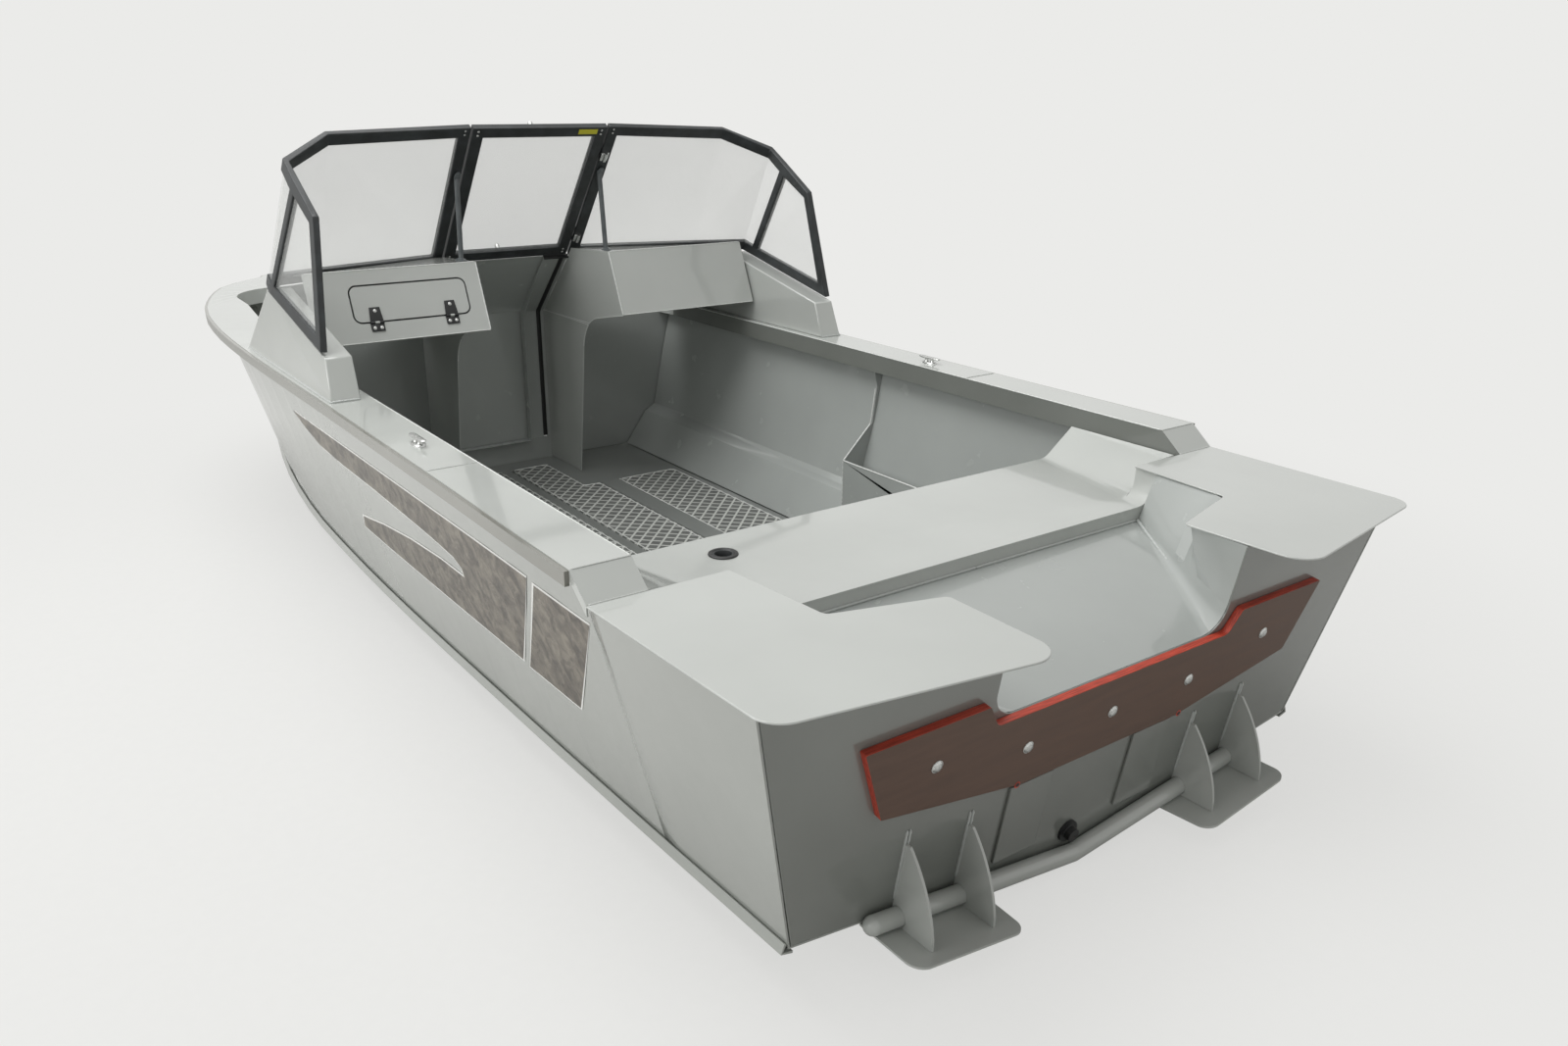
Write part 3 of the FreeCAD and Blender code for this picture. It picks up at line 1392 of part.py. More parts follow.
strut = strut_shape()
struts = feature("struts", Part.makeCompound([strut, mirrored(strut)]))

# Passage and its door

passage_x = mm("floor_front")
door_x = passage_x + mm("door_gap")
jamb_inner = mm("passage_half") - mm("jamb_width")
wall_clear = mm("passage_half") - sheet_gap
slope_top = Vector(mm("screen_foot") + 4, 0, mm("screen_level") - 4)


def passage_shape():
    """Sill, ledge, the starboard jamb with its fold, and the strip along the console wall."""
    sill_top = mm("sill_level")
    deck_top = mm("deck_level")
    flange = mm("rib_flange")
    sill = Part.makeBox(
        deck, 2 * wall_clear, sill_top - mm("floor_level") + deck,
        Vector(passage_x - deck, -wall_clear, mm("floor_level") - deck),
    )
    ledge = Part.makeBox(
        flange, jamb_inner + wall_clear, inner_plate,
        Vector(passage_x - flange, -jamb_inner, sill_top - inner_plate),
    )
    strips = []
    for far, near in ((wall_clear, wall_clear - mm("jamb_strip")), (mm("jamb_outer"), jamb_inner)):
        strips.append(folded_sheet([
            [Vector(passage_x, -y, sill_top), Vector(passage_x, -y, deck_top), slope_top + Vector(0, -y, 0)]
            for y in (far, near)
        ], -inner_plate))
    fold = prism([
        Vector(passage_x - 1, -jamb_inner, sill_top - 2), Vector(passage_x - 1, -jamb_inner, deck_top),
        Vector(slope_top.x, -jamb_inner, slope_top.z - 1),
        Vector(slope_top.x + 25, -jamb_inner, slope_top.z - 26),
        Vector(passage_x - flange, -jamb_inner, deck_top - 14),
        Vector(passage_x - flange, -jamb_inner, sill_top - 2),
    ], Vector(0, -inner_plate, 0))
    return sill.fuse([ledge, fold] + strips)


passage_frame = feature("passage_frame", passage_shape(), *consoles)

door_pin = Vector(door_x + 5, mm("window_half"), mm("sill_level") + 60)
door_hinge_length = 60


def door_shape():
    """Door: a leaf folded back along the fairing's slope, ahead of its frame."""
    slope = (slope_top - Vector(passage_x, 0, mm("deck_level"))).normalize()
    raised = Vector(slope.z, 0, -slope.x) * mm("door_gap")
    head = slope_top + raised
    fold = head + slope * ((door_x - head.x) / slope.x)
    foot = Vector(door_x, 0, mm("sill_level") - mm("door_lap"))
    free = Vector(0, -jamb_inner - mm("door_lap"), 0)
    hung = Vector(0, mm("window_half") - 12, 0)
    sections = [[point + side for point in (foot, fold, head)] for side in (free, hung)]
    return folded_sheet(sections, mm("door_thick"))


door_hinges = [
    hinge(door_pin + Vector(0, 0, start), Vector(0, 0, 1), door_hinge_length, Vector(0, -1, 0),
          Vector(1, 0, 0), (26, 5, mm("door_thick")), mm("door_barrel"))
    for start in (0, 360)
]
door_leaves = [moving for fixed, moving in door_hinges]
passage_door = feature("passage_door", door_shape().fuse(door_leaves))
door_brackets = [
    Part.makeBox(
        door_x - passage_x + 1, 30, door_hinge_length,
        Vector(passage_x, mm("passage_half") + 4, door_pin.z + start),
    )
    for start in (0, 360)
]
door_fixed = feature(
    "door_hinges",
    Part.makeCompound([
        fixed.fuse(bracket) for (fixed, moving), bracket in zip(door_hinges, door_brackets)
    ]),
    *bulkheads, *consoles
)

# Glovebox

face_up = face_slope * (1 / face_slope.Length)
lid_radius = mm("lid_radius") + mm("lid_gap")
box_outer = rounded_plate(
    lid_corners(-inner_plate), [lid_radius + inner_plate] * 4, face_normal * mm("glovebox_deep")
)
box_inner = rounded_plate(
    lid_corners(0), [lid_radius] * 4, face_normal * (mm("glovebox_deep") - inner_plate)
)
box_shape = box_outer.cut(box_inner)
box_shape.translate(face_normal * inner_plate)
glovebox_box = feature("glovebox_box", box_shape, consoles[0])

lid_plate = rounded_plate(
    lid_corners(mm("lid_gap")), [mm("lid_radius")] * 4, face_normal * mm("lid_thick")
)
lid_foot = on_face(0, mm("glovebox_low")) - face_normal * leaf_drop
lid_hinge_length = 44
lid_hinges = [
    hinge(lid_foot + Vector(0, y, 0), Vector(0, 1, 0), lid_hinge_length, face_up, face_normal * -1,
          (20, leaf_drop, 2), mm("hinge_radius"))
    for y in (mm("glovebox_inner") + 48, mm("glovebox_outer") - 92)
]
lid_leaves = [moving for fixed, moving in lid_hinges]
glovebox_lid = feature("glovebox_lid", lid_plate.fuse(lid_leaves))
lid_fixed = feature(
    "lid_hinges", Part.makeCompound([fixed for fixed, moving in lid_hinges]), consoles[0]
)

# Bow

bow_floor_x = passage_x + sheet_gap
beam = 2 * mm("half_beam")
bow_floor = Part.makeBox(
    mm("bow_seat_aft") - bow_floor_x, beam, deck,
    Vector(bow_floor_x, -beam / 2, mm("bow_floor_level") - deck),
)
locker_front = Part.makeBox(
    deck, beam, mm("bow_seat_level") - mm("bow_floor_level") + deck,
    Vector(mm("bow_seat_aft"), -beam / 2, mm("bow_floor_level") - deck),
)
locker_top = Part.makeBox(
    mm("hull_length") - mm("bow_seat_aft"), beam, deck,
    Vector(mm("bow_seat_aft"), -beam / 2, mm("bow_seat_level") - deck),
)
bow_locker = feature(
    "bow_locker", bow_floor.fuse([locker_front, locker_top]).common(core), hull_bottom, *hull_sides
)

eye_x = mm("hull_length") * 0.977
eye_ring = Part.makeTorus(
    mm("eye_radius"), mm("eye_wire"), Vector(eye_x + mm("eye_radius"), 0, mm("eye_level")), Vector(0, 1, 0)
)
eye_ring = eye_ring.cut(keel.Shape).cut(hull_sides[0].Shape).cut(hull_sides[1].Shape)
bow_eye = feature("bow_eye", max(eye_ring.Solids, key=lambda solid: solid.BoundBox.XMax))

# Stern fittings

out = Vector(-1, 0, -mm("transom_rake")).normalize()


def on_transom(y, z, distance=0):
    """A point on the transom's outer face, or a distance outside it."""
    return Vector(transom_x(z), y, z) + out * distance


def foot_of_transom(y):
    """Height of the transom's foot at a half width."""
    return keel_at(0) + (chine_at(0)[1] - keel_at(0)) * abs(y) / mm("chine_half")


pad_side = [
    (mm("pad_half"), mm("pad_level")), (mm("pad_half") - mm("pad_inset"), mm("pad_low")),
    (mm("pad_flat"), mm("pad_foot")),
]
pad_lip = mm("notch_half") + 31
pad_notch = [
    (-pad_lip, mm("pad_level")), (-mm("notch_half"), mm("notch_level")),
    (mm("notch_half"), mm("notch_level")), (pad_lip, mm("pad_level")),
]
pad_outline = pad_side + [(-y, z) for y, z in reversed(pad_side)] + pad_notch
pad_radii = [3, 6, 20, 20, 6, 3, 8, 20, 20, 8]
transom_pad = feature(
    "transom_pad",
    rounded_plate([on_transom(y, z) for y, z in pad_outline], pad_radii, out * mm("pad_thick")),
)
doubler = rounded_plate(
    [on_transom(mm("doubler_inner"), mm("doubler_low")), on_transom(mm("doubler_inner"), mm("doubler_top")),
     on_transom(mm("doubler_inner") + mm("doubler_width"), mm("doubler_top")),
     on_transom(mm("doubler_inner") + mm("doubler_width"), mm("doubler_low"))],
    [4] * 4, out * mm("doubler_thick"),
)
doublers = feature("doubler_strips", Part.makeCompound([doubler, mirrored(doubler)]))

tube = mm("tube_radius")
tube_end = mm("gusset_outer") + 70
tube_middle = on_transom(0, foot_of_transom(0) + 8, tube)
tube_port = on_transom(tube_end, foot_of_transom(tube_end) + 8, tube)
tube_parts = [round_bar(tube_middle, tube_port, tube), Part.makeSphere(tube, tube_port)]
tube_parts += [mirrored(part) for part in tube_parts] + [Part.makeSphere(tube, tube_middle)]
stern_tube = feature("stern_tube", tube_parts[0].fuse(tube_parts[1:]))


def trim_tab_shape():
    """Port trim plate along the foot of the transom with its two gussets."""
    thick = mm("tab_thick")
    reach = -mm("tab_reach")
    inner = mm("tab_inner")
    outer = mm("tab_outer")
    drop = tube - 3 + thick
    notch = round_bar(tube_middle, tube_port, tube + sheet_gap)

    def under(x, y):
        return Vector(x, y, foot_of_transom(y) - drop)

    blank = rounded_plate(
        [under(transom_x(foot_of_transom(inner)) + 20, inner), under(reach, inner + 12),
         under(reach, outer), under(transom_x(foot_of_transom(outer)) + 20, outer)],
        [0, mm("tab_radius"), mm("tab_radius"), 0], Vector(0, 0, thick),
    )
    parts = []
    for y in (mm("gusset_inner"), mm("gusset_outer")):
        low = foot_of_transom(y) - drop + thick + 1
        high = low + mm("gusset_height")
        heel = transom_x(low)
        aft = heel - mm("gusset_reach")
        bulge = Vector(heel - mm("gusset_reach") * 0.82, y, low + mm("gusset_height") * 0.56)
        edge = Part.Arc(Vector(transom_x(high) - 14, y, high), bulge, Vector(aft, y, low + 22)).toShape()
        rest = Part.makePolygon([
            Vector(aft, y, low + 22), Vector(aft, y, low), Vector(heel, y, low),
            Vector(transom_x(high), y, high), Vector(transom_x(high) - 14, y, high),
        ])
        web = Part.Face(Part.Wire([edge] + rest.Edges))
        parts.append(web.extrude(Vector(0, mm("gusset_thick"), 0)).cut(notch))
    return Part.makeCompound([blank] + parts)


trim_tabs = both_sides("trim_tab", trim_tab_shape())
plug_centre = on_transom(16, -74)
plug = round_bar(plug_centre, plug_centre + out * 7, mm("plug_radius")).fuse(
    round_bar(plug_centre, plug_centre + out * mm("plug_depth"), mm("plug_radius") * 0.6)
)
drain_plug = feature("drain_plug", plug, stern_tube)

# Deck fittings

cleat_x = mm("cleat_station")
cleat_y = (mm("half_beam") + cockpit_edge) / 2 - 2
cleat_parts = [
    Part.makeBox(46, 30, 6, Vector(cleat_x - 23, cleat_y - 15, mm("deck_level"))),
    Part.makeBox(12, 16, 14, Vector(cleat_x - 19, cleat_y - 8, mm("deck_level"))),
    Part.makeBox(12, 16, 14, Vector(cleat_x + 7, cleat_y - 8, mm("deck_level"))),
    Part.makeBox(
        mm("cleat_length"), mm("cleat_width") * 0.45, 9,
        Vector(cleat_x - mm("cleat_length") / 2, cleat_y - mm("cleat_width") * 0.225,
               mm("deck_level") + mm("cleat_height") - 9),
    ),
]
cleat = cleat_parts[0].fuse(cleat_parts[1:])
cleats = feature("cleats", Part.makeCompound([cleat, mirrored(cleat)]))

socket_x = sizes.socket_station
flange = drum(
    "socket_rim", sizes.socket_flange, as_size(4), socket_x, sizes.socket_offset, sizes.bench_level
)
sleeve = drum(
    "socket_sleeve", sizes.socket_bore + 6, sizes.socket_depth + 4, socket_x, sizes.socket_offset,
    sizes.bench_level - sizes.socket_depth,
)
hollow = drum(
    "socket_hollow", sizes.socket_bore, sizes.socket_depth + 4, socket_x, sizes.socket_offset,
    sizes.bench_level - sizes.socket_depth,
)
socket_body = doc.addObject("Part::MultiFuse", "socket_body")
socket_body.Shapes = [flange, sleeve]
deck_socket = doc.addObject("Part::Cut", "deck_socket")
deck_socket.Base = socket_body
deck_socket.Tool = hollow
keep("deck_socket", deck_socket)
doc.recompute()

# Every object is checked before any file is written

doc.recompute()
for item in doc.Objects:
    assert "Invalid" not in item.State and "Error" not in item.State, item.Label
for item in NODES:
    assert not item.Shape.isNull() and item.Shape.isValid(), item.Label
    assert all(solid.Volume > 0 for solid in item.Shape.Solids), item.Label
os.makedirs("parts", exist_ok=True)
for item in NODES:
    item.Shape.exportStep("parts/%s.step" % item.Label)
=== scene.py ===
"""Looks of a grey walk-through motorboat, welded from painted aluminium sheet.

Metres. +X points to the bow, +Y to port, +Z up, the origin on the waterline at the transom.
"""

import math

import bmesh
import bpy
import numpy as np
from mathutils import Matrix, Vector


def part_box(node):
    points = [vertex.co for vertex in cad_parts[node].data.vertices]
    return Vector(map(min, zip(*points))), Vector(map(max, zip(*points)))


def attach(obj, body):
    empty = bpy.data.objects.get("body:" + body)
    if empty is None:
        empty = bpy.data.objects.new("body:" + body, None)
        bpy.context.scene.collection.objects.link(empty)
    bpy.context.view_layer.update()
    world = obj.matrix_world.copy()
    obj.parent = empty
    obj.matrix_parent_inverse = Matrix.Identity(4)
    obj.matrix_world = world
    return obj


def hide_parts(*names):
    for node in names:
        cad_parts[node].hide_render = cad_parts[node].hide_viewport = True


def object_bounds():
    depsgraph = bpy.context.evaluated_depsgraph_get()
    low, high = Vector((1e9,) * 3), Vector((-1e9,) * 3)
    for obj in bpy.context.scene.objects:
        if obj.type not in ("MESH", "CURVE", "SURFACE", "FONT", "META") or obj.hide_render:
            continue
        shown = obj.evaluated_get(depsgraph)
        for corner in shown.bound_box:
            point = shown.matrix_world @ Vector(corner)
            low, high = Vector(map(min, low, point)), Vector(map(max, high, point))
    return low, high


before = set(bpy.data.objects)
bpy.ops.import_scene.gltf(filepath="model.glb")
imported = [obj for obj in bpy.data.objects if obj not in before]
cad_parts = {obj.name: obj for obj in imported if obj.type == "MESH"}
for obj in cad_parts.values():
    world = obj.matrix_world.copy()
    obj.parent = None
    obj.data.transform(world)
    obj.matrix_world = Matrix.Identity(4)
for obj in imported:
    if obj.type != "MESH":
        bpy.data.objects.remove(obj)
cad_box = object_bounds()

# Sizes of the boat that the pieces here are worked out from

DECK_LEVEL = 0.580
# The transom leans aft by RAKE per metre up from the chine, which is DROP below the waterline;
# its foot climbs by DEADRISE from the keel to the chine
TRANSOM_RAKE = 0.175
CHINE_DROP = 0.030
CHINE_HALF = 0.758
TRANSOM_FOOT = -0.136
TRANSOM_DEADRISE = 0.106
BOARD_THICK = 0.018
# Half widths of the gusset plates, their welds' length and height above the transom's foot
GUSSET_PLACES = (0.340, 0.505)
GUSSET_WELD = 0.165
GUSSET_LIFT = 0.038
DOUBLER_EDGES = (0.132, 0.243)
DOUBLER_SPAN = (-0.05, 0.128)
CONSOLE_WALL = 0.2495
CONSOLE_SIDE = 0.81
CONSOLE_LOW = 0.655
CONSOLE_HIGH = 0.868
LID_HINGES = (0.370, 0.616)
STRUT_HEAD = (2.5535, 0.2635)
STRUT_BASE = (2.5455, 0.2745)
KEEL_LOW = cad_box[0][2]
TREAD_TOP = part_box("tread_panels")[1][2]
# The windshield's plane: up its slope, out of it, and the foot of the middle window
SCREEN_UP = Vector((-0.62974, 0, 0.77681))
SCREEN_OUT = Vector((0.77681, 0, 0.62974))
SCREEN_FOOT = Vector((2.811, 0, 0.822))
# Angles in degrees: a sheet's facets closer than FLAT are one face, edges over SHARP break the
# shading, and edges over PRESSED are rounded
FLAT = 0.05
SHARP = 28
PRESSED = 30


# Materials


def paint(hex_colour):
    """A colour written as sRGB hex, turned to the linear values that shaders take."""
    parts = [int(hex_colour[k:k + 2], 16) / 255 for k in (1, 3, 5)]
    linear = [c / 12.92 if c <= 0.04045 else ((c + 0.055) / 1.055) ** 2.4 for c in parts]
    return (*linear, 1.0)


def add_node(tree, kind, settings=(), **links):
    """A shader node with its settings; a link is another node's output or a plain value.

    A link is named after its socket, or by the socket's number after an underscore.
    """
    made = tree.nodes.new(kind)
    for name, value in dict(settings).items():
        setattr(made, name, value)
    for name, value in links.items():
        socket = made.inputs[int(name[1:])] if name[0] == "_" and name[1:].isdigit() else made.inputs[name]
        if isinstance(value, bpy.types.NodeSocket):
            tree.links.new(value, socket)
        else:
            socket.default_value = value
    return made


def new_material(name):
    """A material with an empty principled shader, its tree and its object coordinates."""
    material = bpy.data.materials.new(name)
    material.use_nodes = True
    tree = material.node_tree
    shader = tree.nodes["Principled BSDF"]
    place = add_node(tree, "ShaderNodeTexCoord").outputs["Object"]
    return material, tree, shader, place


def wire(tree, shader, **links):
    """Connect outputs to the shader's sockets, or set plain values on them."""
    for name, value in links.items():
        socket = shader.inputs[name.replace("_", " ")]
        if isinstance(value, bpy.types.NodeSocket):
            tree.links.new(value, socket)
        else:
            socket.default_value = value


def two_tone(tree, factor, low, high, start=0.35, end=0.65):
    """A ramp between two colours, over a stretch of a pattern's 0 to 1."""
    ramp = add_node(tree, "ShaderNodeValToRGB", Fac=factor)
    ramp.color_ramp.elements[0].position = start
    ramp.color_ramp.elements[0].color = paint(low)
    ramp.color_ramp.elements[1].position = end
    ramp.color_ramp.elements[1].color = paint(high)
    return ramp.outputs["Color"]


def span(tree, factor, low, high):
    """A pattern's 0 to 1 spread over a plain range."""
    found = add_node(tree, "ShaderNodeMapRange", Value=factor)
    found.inputs["To Min"].default_value = low
    found.inputs["To Max"].default_value = high
    return found.outputs["Result"]


def sprayed_enamel(name, low, high, roughness, wave_mm):
    """Two-part enamel sprayed on aluminium sheet: an even grey with a fine orange peel.

    The sheet under it isn't quite flat, so long low waves bend the reflections.
    """
    material, tree, shader, place = new_material(name)
    cloud = add_node(tree, "ShaderNodeTexNoise", Vector=place, Scale=2.2, Detail=4.0)
    # Orange peel is about 3 mm from crest to crest
    peel = add_node(tree, "ShaderNodeTexNoise", Vector=place, Scale=330.0, Detail=2.0)
    wave = add_node(tree, "ShaderNodeTexNoise", Vector=place, Scale=1000.0 / wave_mm, Detail=1.0)
    dust = add_node(tree, "ShaderNodeTexNoise", Vector=place, Scale=14.0, Detail=6.0)
    long = add_node(tree, "ShaderNodeBump", Height=wave.outputs["Fac"], Strength=0.05, Distance=0.01)
    fine = add_node(
        tree, "ShaderNodeBump", Height=peel.outputs["Fac"], Strength=0.03, Distance=0.0006,
        Normal=long.outputs["Normal"],
    )
    wire(
        tree, shader,
        Base_Color=two_tone(tree, cloud.outputs["Fac"], low, high, 0.3, 0.7),
        Roughness=span(tree, dust.outputs["Fac"], roughness - 0.02, roughness + 0.03),
        Normal=fine.outputs["Normal"],
        IOR=1.5,
        Coat_Weight=0.8,
        Coat_Roughness=0.06,
    )
    return material


def powder_coat(name, colour, lighter, roughness):
    """Powder coat on a drawn profile: a dark satin skin with a fine even grain."""
    material, tree, shader, place = new_material(name)
    grain = add_node(tree, "ShaderNodeTexNoise", Vector=place, Scale=700.0, Detail=2.0)
    rub = add_node(tree, "ShaderNodeTexNoise", Vector=place, Scale=22.0, Detail=5.0)
    bump = add_node(tree, "ShaderNodeBump", Height=grain.outputs["Fac"], Strength=0.12, Distance=0.0004)
    wire(
        tree, shader,
        Base_Color=two_tone(tree, rub.outputs["Fac"], colour, lighter, 0.4, 0.75),
        Roughness=span(tree, rub.outputs["Fac"], roughness - 0.06, roughness + 0.1),
        Normal=bump.outputs["Normal"],
    )
    return material


def film_faced_board(name):
    """Plywood faced with brown phenolic film: a faint pressed mesh under a dull sheen."""
    material, tree, shader, place = new_material(name)
    stretched = add_node(tree, "ShaderNodeMapping", Vector=place)
    stretched.inputs["Scale"].default_value = (1, 0.12, 1)
    streak = add_node(
        tree, "ShaderNodeTexNoise", Vector=stretched.outputs["Vector"], Scale=60.0, Detail=8.0
    )
    mesh = add_node(tree, "ShaderNodeTexVoronoi", Vector=place, Scale=450.0)
    bump = add_node(tree, "ShaderNodeBump", Height=mesh.outputs["Distance"], Strength=0.1, Distance=0.0005)
    wire(
        tree, shader,
        Base_Color=two_tone(tree, streak.outputs["Fac"], "#553f33", "#664e41", 0.2, 0.8),
        Roughness=span(tree, streak.outputs["Fac"], 0.42, 0.6),
        Normal=bump.outputs["Normal"],
    )
    return material


def brushed_red_edge(name):
    """Red sealing paint brushed on the board's cut edge: plies show as darker stripes."""
    material, tree, shader, place = new_material(name)
    stretched = add_node(tree, "ShaderNodeMapping", Vector=place)
    stretched.inputs["Scale"].default_value = (6, 0.3, 1.2)
    plies = add_node(tree, "ShaderNodeTexNoise", Vector=stretched.outputs["Vector"], Scale=70.0, Detail=6.0)
    bump = add_node(tree, "ShaderNodeBump", Height=plies.outputs["Fac"], Strength=0.4, Distance=0.001)
    wire(
        tree, shader,
        Base_Color=two_tone(tree, plies.outputs["Fac"], "#8a2c1c", "#c4452f", 0.3, 0.62),
        Roughness=0.5,
        Normal=bump.outputs["Normal"],
    )
    return material


def bare_metal(name, low, high, roughness):
    """Stainless steel or bare aluminium, turned or cast: fine scratches blur its shine."""
    material, tree, shader, place = new_material(name)
    scratch = add_node(tree, "ShaderNodeTexNoise", Vector=place, Scale=260.0, Detail=6.0)
    bump = add_node(tree, "ShaderNodeBump", Height=scratch.outputs["Fac"], Strength=0.08, Distance=0.0005)
    wire(
        tree, shader,
        Base_Color=two_tone(tree, scratch.outputs["Fac"], low, high),
        Metallic=1.0,
        Roughness=span(tree, scratch.outputs["Fac"], roughness - 0.06, roughness + 0.1),
        Normal=bump.outputs["Normal"],
    )
    return material


def moulded_plastic(name, colour, lighter, roughness):
    """Injection-moulded polyamide: even colour with a spark-eroded texture."""
    material, tree, shader, place = new_material(name)
    spark = add_node(tree, "ShaderNodeTexNoise", Vector=place, Scale=900.0, Detail=2.0)
    bump = add_node(tree, "ShaderNodeBump", Height=spark.outputs["Fac"], Strength=0.15, Distance=0.0004)
    wire(
        tree, shader,
        Base_Color=two_tone(tree, spark.outputs["Fac"], colour, lighter, 0.4, 0.7),
        Roughness=roughness,
        Normal=bump.outputs["Normal"],
    )
    return material


def clear_acrylic(name):
    """Cast acrylic sheet, clear and slightly grey: seen through, with a soft reflection."""
    material, tree, shader, place = new_material(name)
    wipe = add_node(tree, "ShaderNodeTexNoise", Vector=place, Scale=3.0, Detail=5.0)
    wire(
        tree, shader,
        Base_Color=two_tone(tree, wipe.outputs["Fac"], "#dfe1df", "#e8e9e7"),
        Roughness=span(tree, wipe.outputs["Fac"], 0.03, 0.09),
        IOR=1.49,
        Alpha=0.22,
    )
    return material


def raised_tread(name):
    """Tread sheet: light ridges cross on the slant, 38 mm apart, on a dark worn ground."""
    material, tree, shader, place = new_material(name)
    axes = add_node(tree, "ShaderNodeSeparateXYZ", Vector=place)
    pitch = 0.038
    ridge = 0.0055
    slant = 0.7071

    def maths(kind, first, second=0.0):
        """One arithmetic node's value."""
        return add_node(tree, "ShaderNodeMath", {"operation": kind}, _0=first, _1=second).outputs["Value"]

    heights = []
    for kind in ("ADD", "SUBTRACT"):
        slanted = maths("MULTIPLY", maths(kind, axes.outputs["X"], axes.outputs["Y"]), slant / pitch)
        off_line = maths("ABSOLUTE", maths("SUBTRACT", maths("FRACT", slanted), 0.5))
        line = add_node(tree, "ShaderNodeMapRange", {"interpolation_type": "SMOOTHSTEP"}, Value=off_line)
        line.inputs["From Min"].default_value = ridge / pitch
        line.inputs["From Max"].default_value = 0.4 * ridge / pitch
        heights.append(line.outputs["Result"])
    height = maths("MAXIMUM", *heights)
    worn = add_node(tree, "ShaderNodeTexNoise", Vector=place, Scale=18.0, Detail=5.0)
    bump = add_node(tree, "ShaderNodeBump", Height=height, Strength=1.0, Distance=0.0015)
    colours = add_node(
        tree, "ShaderNodeMix", {"data_type": "RGBA"}, Factor=height,
        _6=two_tone(tree, worn.outputs["Fac"], "#5e605e", "#6c6e6b"), _7=paint("#c4c6c1"),
    )
    wire(
        tree, shader,
        Base_Color=colours.outputs[2],
        Roughness=span(tree, height, 0.5, 0.36),
        Normal=bump.outputs["Normal"],
    )
    return material


def mirror_film(name):
    """Bronze mirror film cut for the side stripes: it reflects what stands around it, and a dark-to-light
    mottle painted in its colour stands in for smeared reflections.
    """
    material, tree, shader, place = new_material(name)
    # Painted reflection: this mottle darkens and lightens the film's base colour as smeared reflections
    # would, and it also wrinkles the film through the bump
    wrinkle_and_painted_reflection = add_node(tree, "ShaderNodeTexNoise", Vector=place, Scale=26.0, Detail=9.0, Distortion=0.8)
    speck = add_node(tree, "ShaderNodeTexNoise", Vector=place, Scale=160.0, Detail=4.0)
    bump = add_node(tree, "ShaderNodeBump", Height=wrinkle_and_painted_reflection.outputs["Fac"], Strength=0.25, Distance=0.002)
    wire(
        tree, shader,
        Base_Color=two_tone(tree, wrinkle_and_painted_reflection.outputs["Fac"], "#4d463f", "#8a8276", 0.36, 0.7),
        Metallic=0.55,
        Roughness=span(tree, speck.outputs["Fac"], 0.2, 0.42),
        Normal=bump.outputs["Normal"],
    )
    return material


MATERIALS = {
    "hull": sprayed_enamel("hull_enamel", "#969994", "#a0a39e", 0.22, 60),
    # Painted shade: the transom has the hull's paint, written darker for the shade it stands in; the
    # doubler strips and the deck's inboard flanges take this coat too
    "transom": sprayed_enamel("transom_painted_shade_enamel", "#737671", "#7e817c", 0.24, 80),
    "deck": sprayed_enamel("deck_enamel", "#b4b7b3", "#bdc0bc", 0.24, 160),
    # Painted shade: the cockpit's inner sheets are written darker than the deck for the shade inside the
    # cockpit
    "inside": sprayed_enamel("inside_painted_shade_enamel", "#a0a4a1", "#a9adaa", 0.26, 120),
    # The sole is darker still: partly its own darker look, partly painted shade at the bottom of the
    # cockpit
    "sole": sprayed_enamel("sole_partly_painted_shade_enamel", "#7a7d7a", "#848784", 0.30, 120),
    "rail": sprayed_enamel("rail_enamel", "#75756d", "#807f77", 0.24, 40),
    "rod": powder_coat("rod_powder_coat", "#54595b", "#666b6d", 0.34),
    "frame": powder_coat("frame_powder_coat", "#242728", "#34383a", 0.42),
    "black": powder_coat("black_powder_coat", "#141516", "#222425", 0.40),
    "glass": clear_acrylic("screen_acrylic"),
    "board": film_faced_board("film_faced_plywood"),
    "edge": brushed_red_edge("red_sealed_edge"),
    "tread": raised_tread("tread_plate"),
    "steel": bare_metal("stainless_steel", "#b9bab8", "#d6d7d5", 0.26),
    "chrome": bare_metal("polished_chrome", "#d9dad9", "#ececeb", 0.12),
    "plastic": moulded_plastic("black_polyamide", "#121313", "#1d1e1e", 0.42),
    "film": mirror_film("bronze_film"),
    "white": moulded_plastic("white_vinyl", "#e9e9e6", "#f2f2ef", 0.35),
    "yellow": moulded_plastic("yellow_vinyl", "#c9c227", "#d8d13a", 0.45),
    # Painted highlight: a pale coat for the dressed sheet edges and the tread borders, standing in for the
    # light they catch
    "painted_highlight": sprayed_enamel("painted_highlight_enamel", "#d4d7d3", "#dfe1de", 0.18, 30),
    "bead": sprayed_enamel("weld_enamel", "#a9adaa", "#b6bab7", 0.32, 8),
}


# Mesh helpers


def place_piece(name, mesh, material, body):
    """Put a finished mesh in the scene as a piece of the boat."""
    piece = bpy.data.objects.new(name, mesh)
    bpy.context.scene.collection.objects.link(piece)
    if not mesh.materials:
        mesh.materials.append(MATERIALS[material])
    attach(piece, body)
    return piece


def grid_quads(shape, around, ends, first):
    """Corner numbers of a grid's faces: quads between rows and columns, and its end caps."""
    rows, columns = shape
    i, j = np.meshgrid(np.arange(rows - 1), np.arange(columns - (not around)), indexing="ij")
    following = (j + 1) % columns
    quads = np.stack(
        [i * columns + j, i * columns + following, (i + 1) * columns + following, (i + 1) * columns + j],
        axis=-1,
    ).reshape(-1, 4) + first
    faces = quads.tolist()
    if ends:
        faces.append(list(range(first, first + columns))[::-1])
        faces.append(list(range(first + (rows - 1) * columns, first + rows * columns)))
    return faces


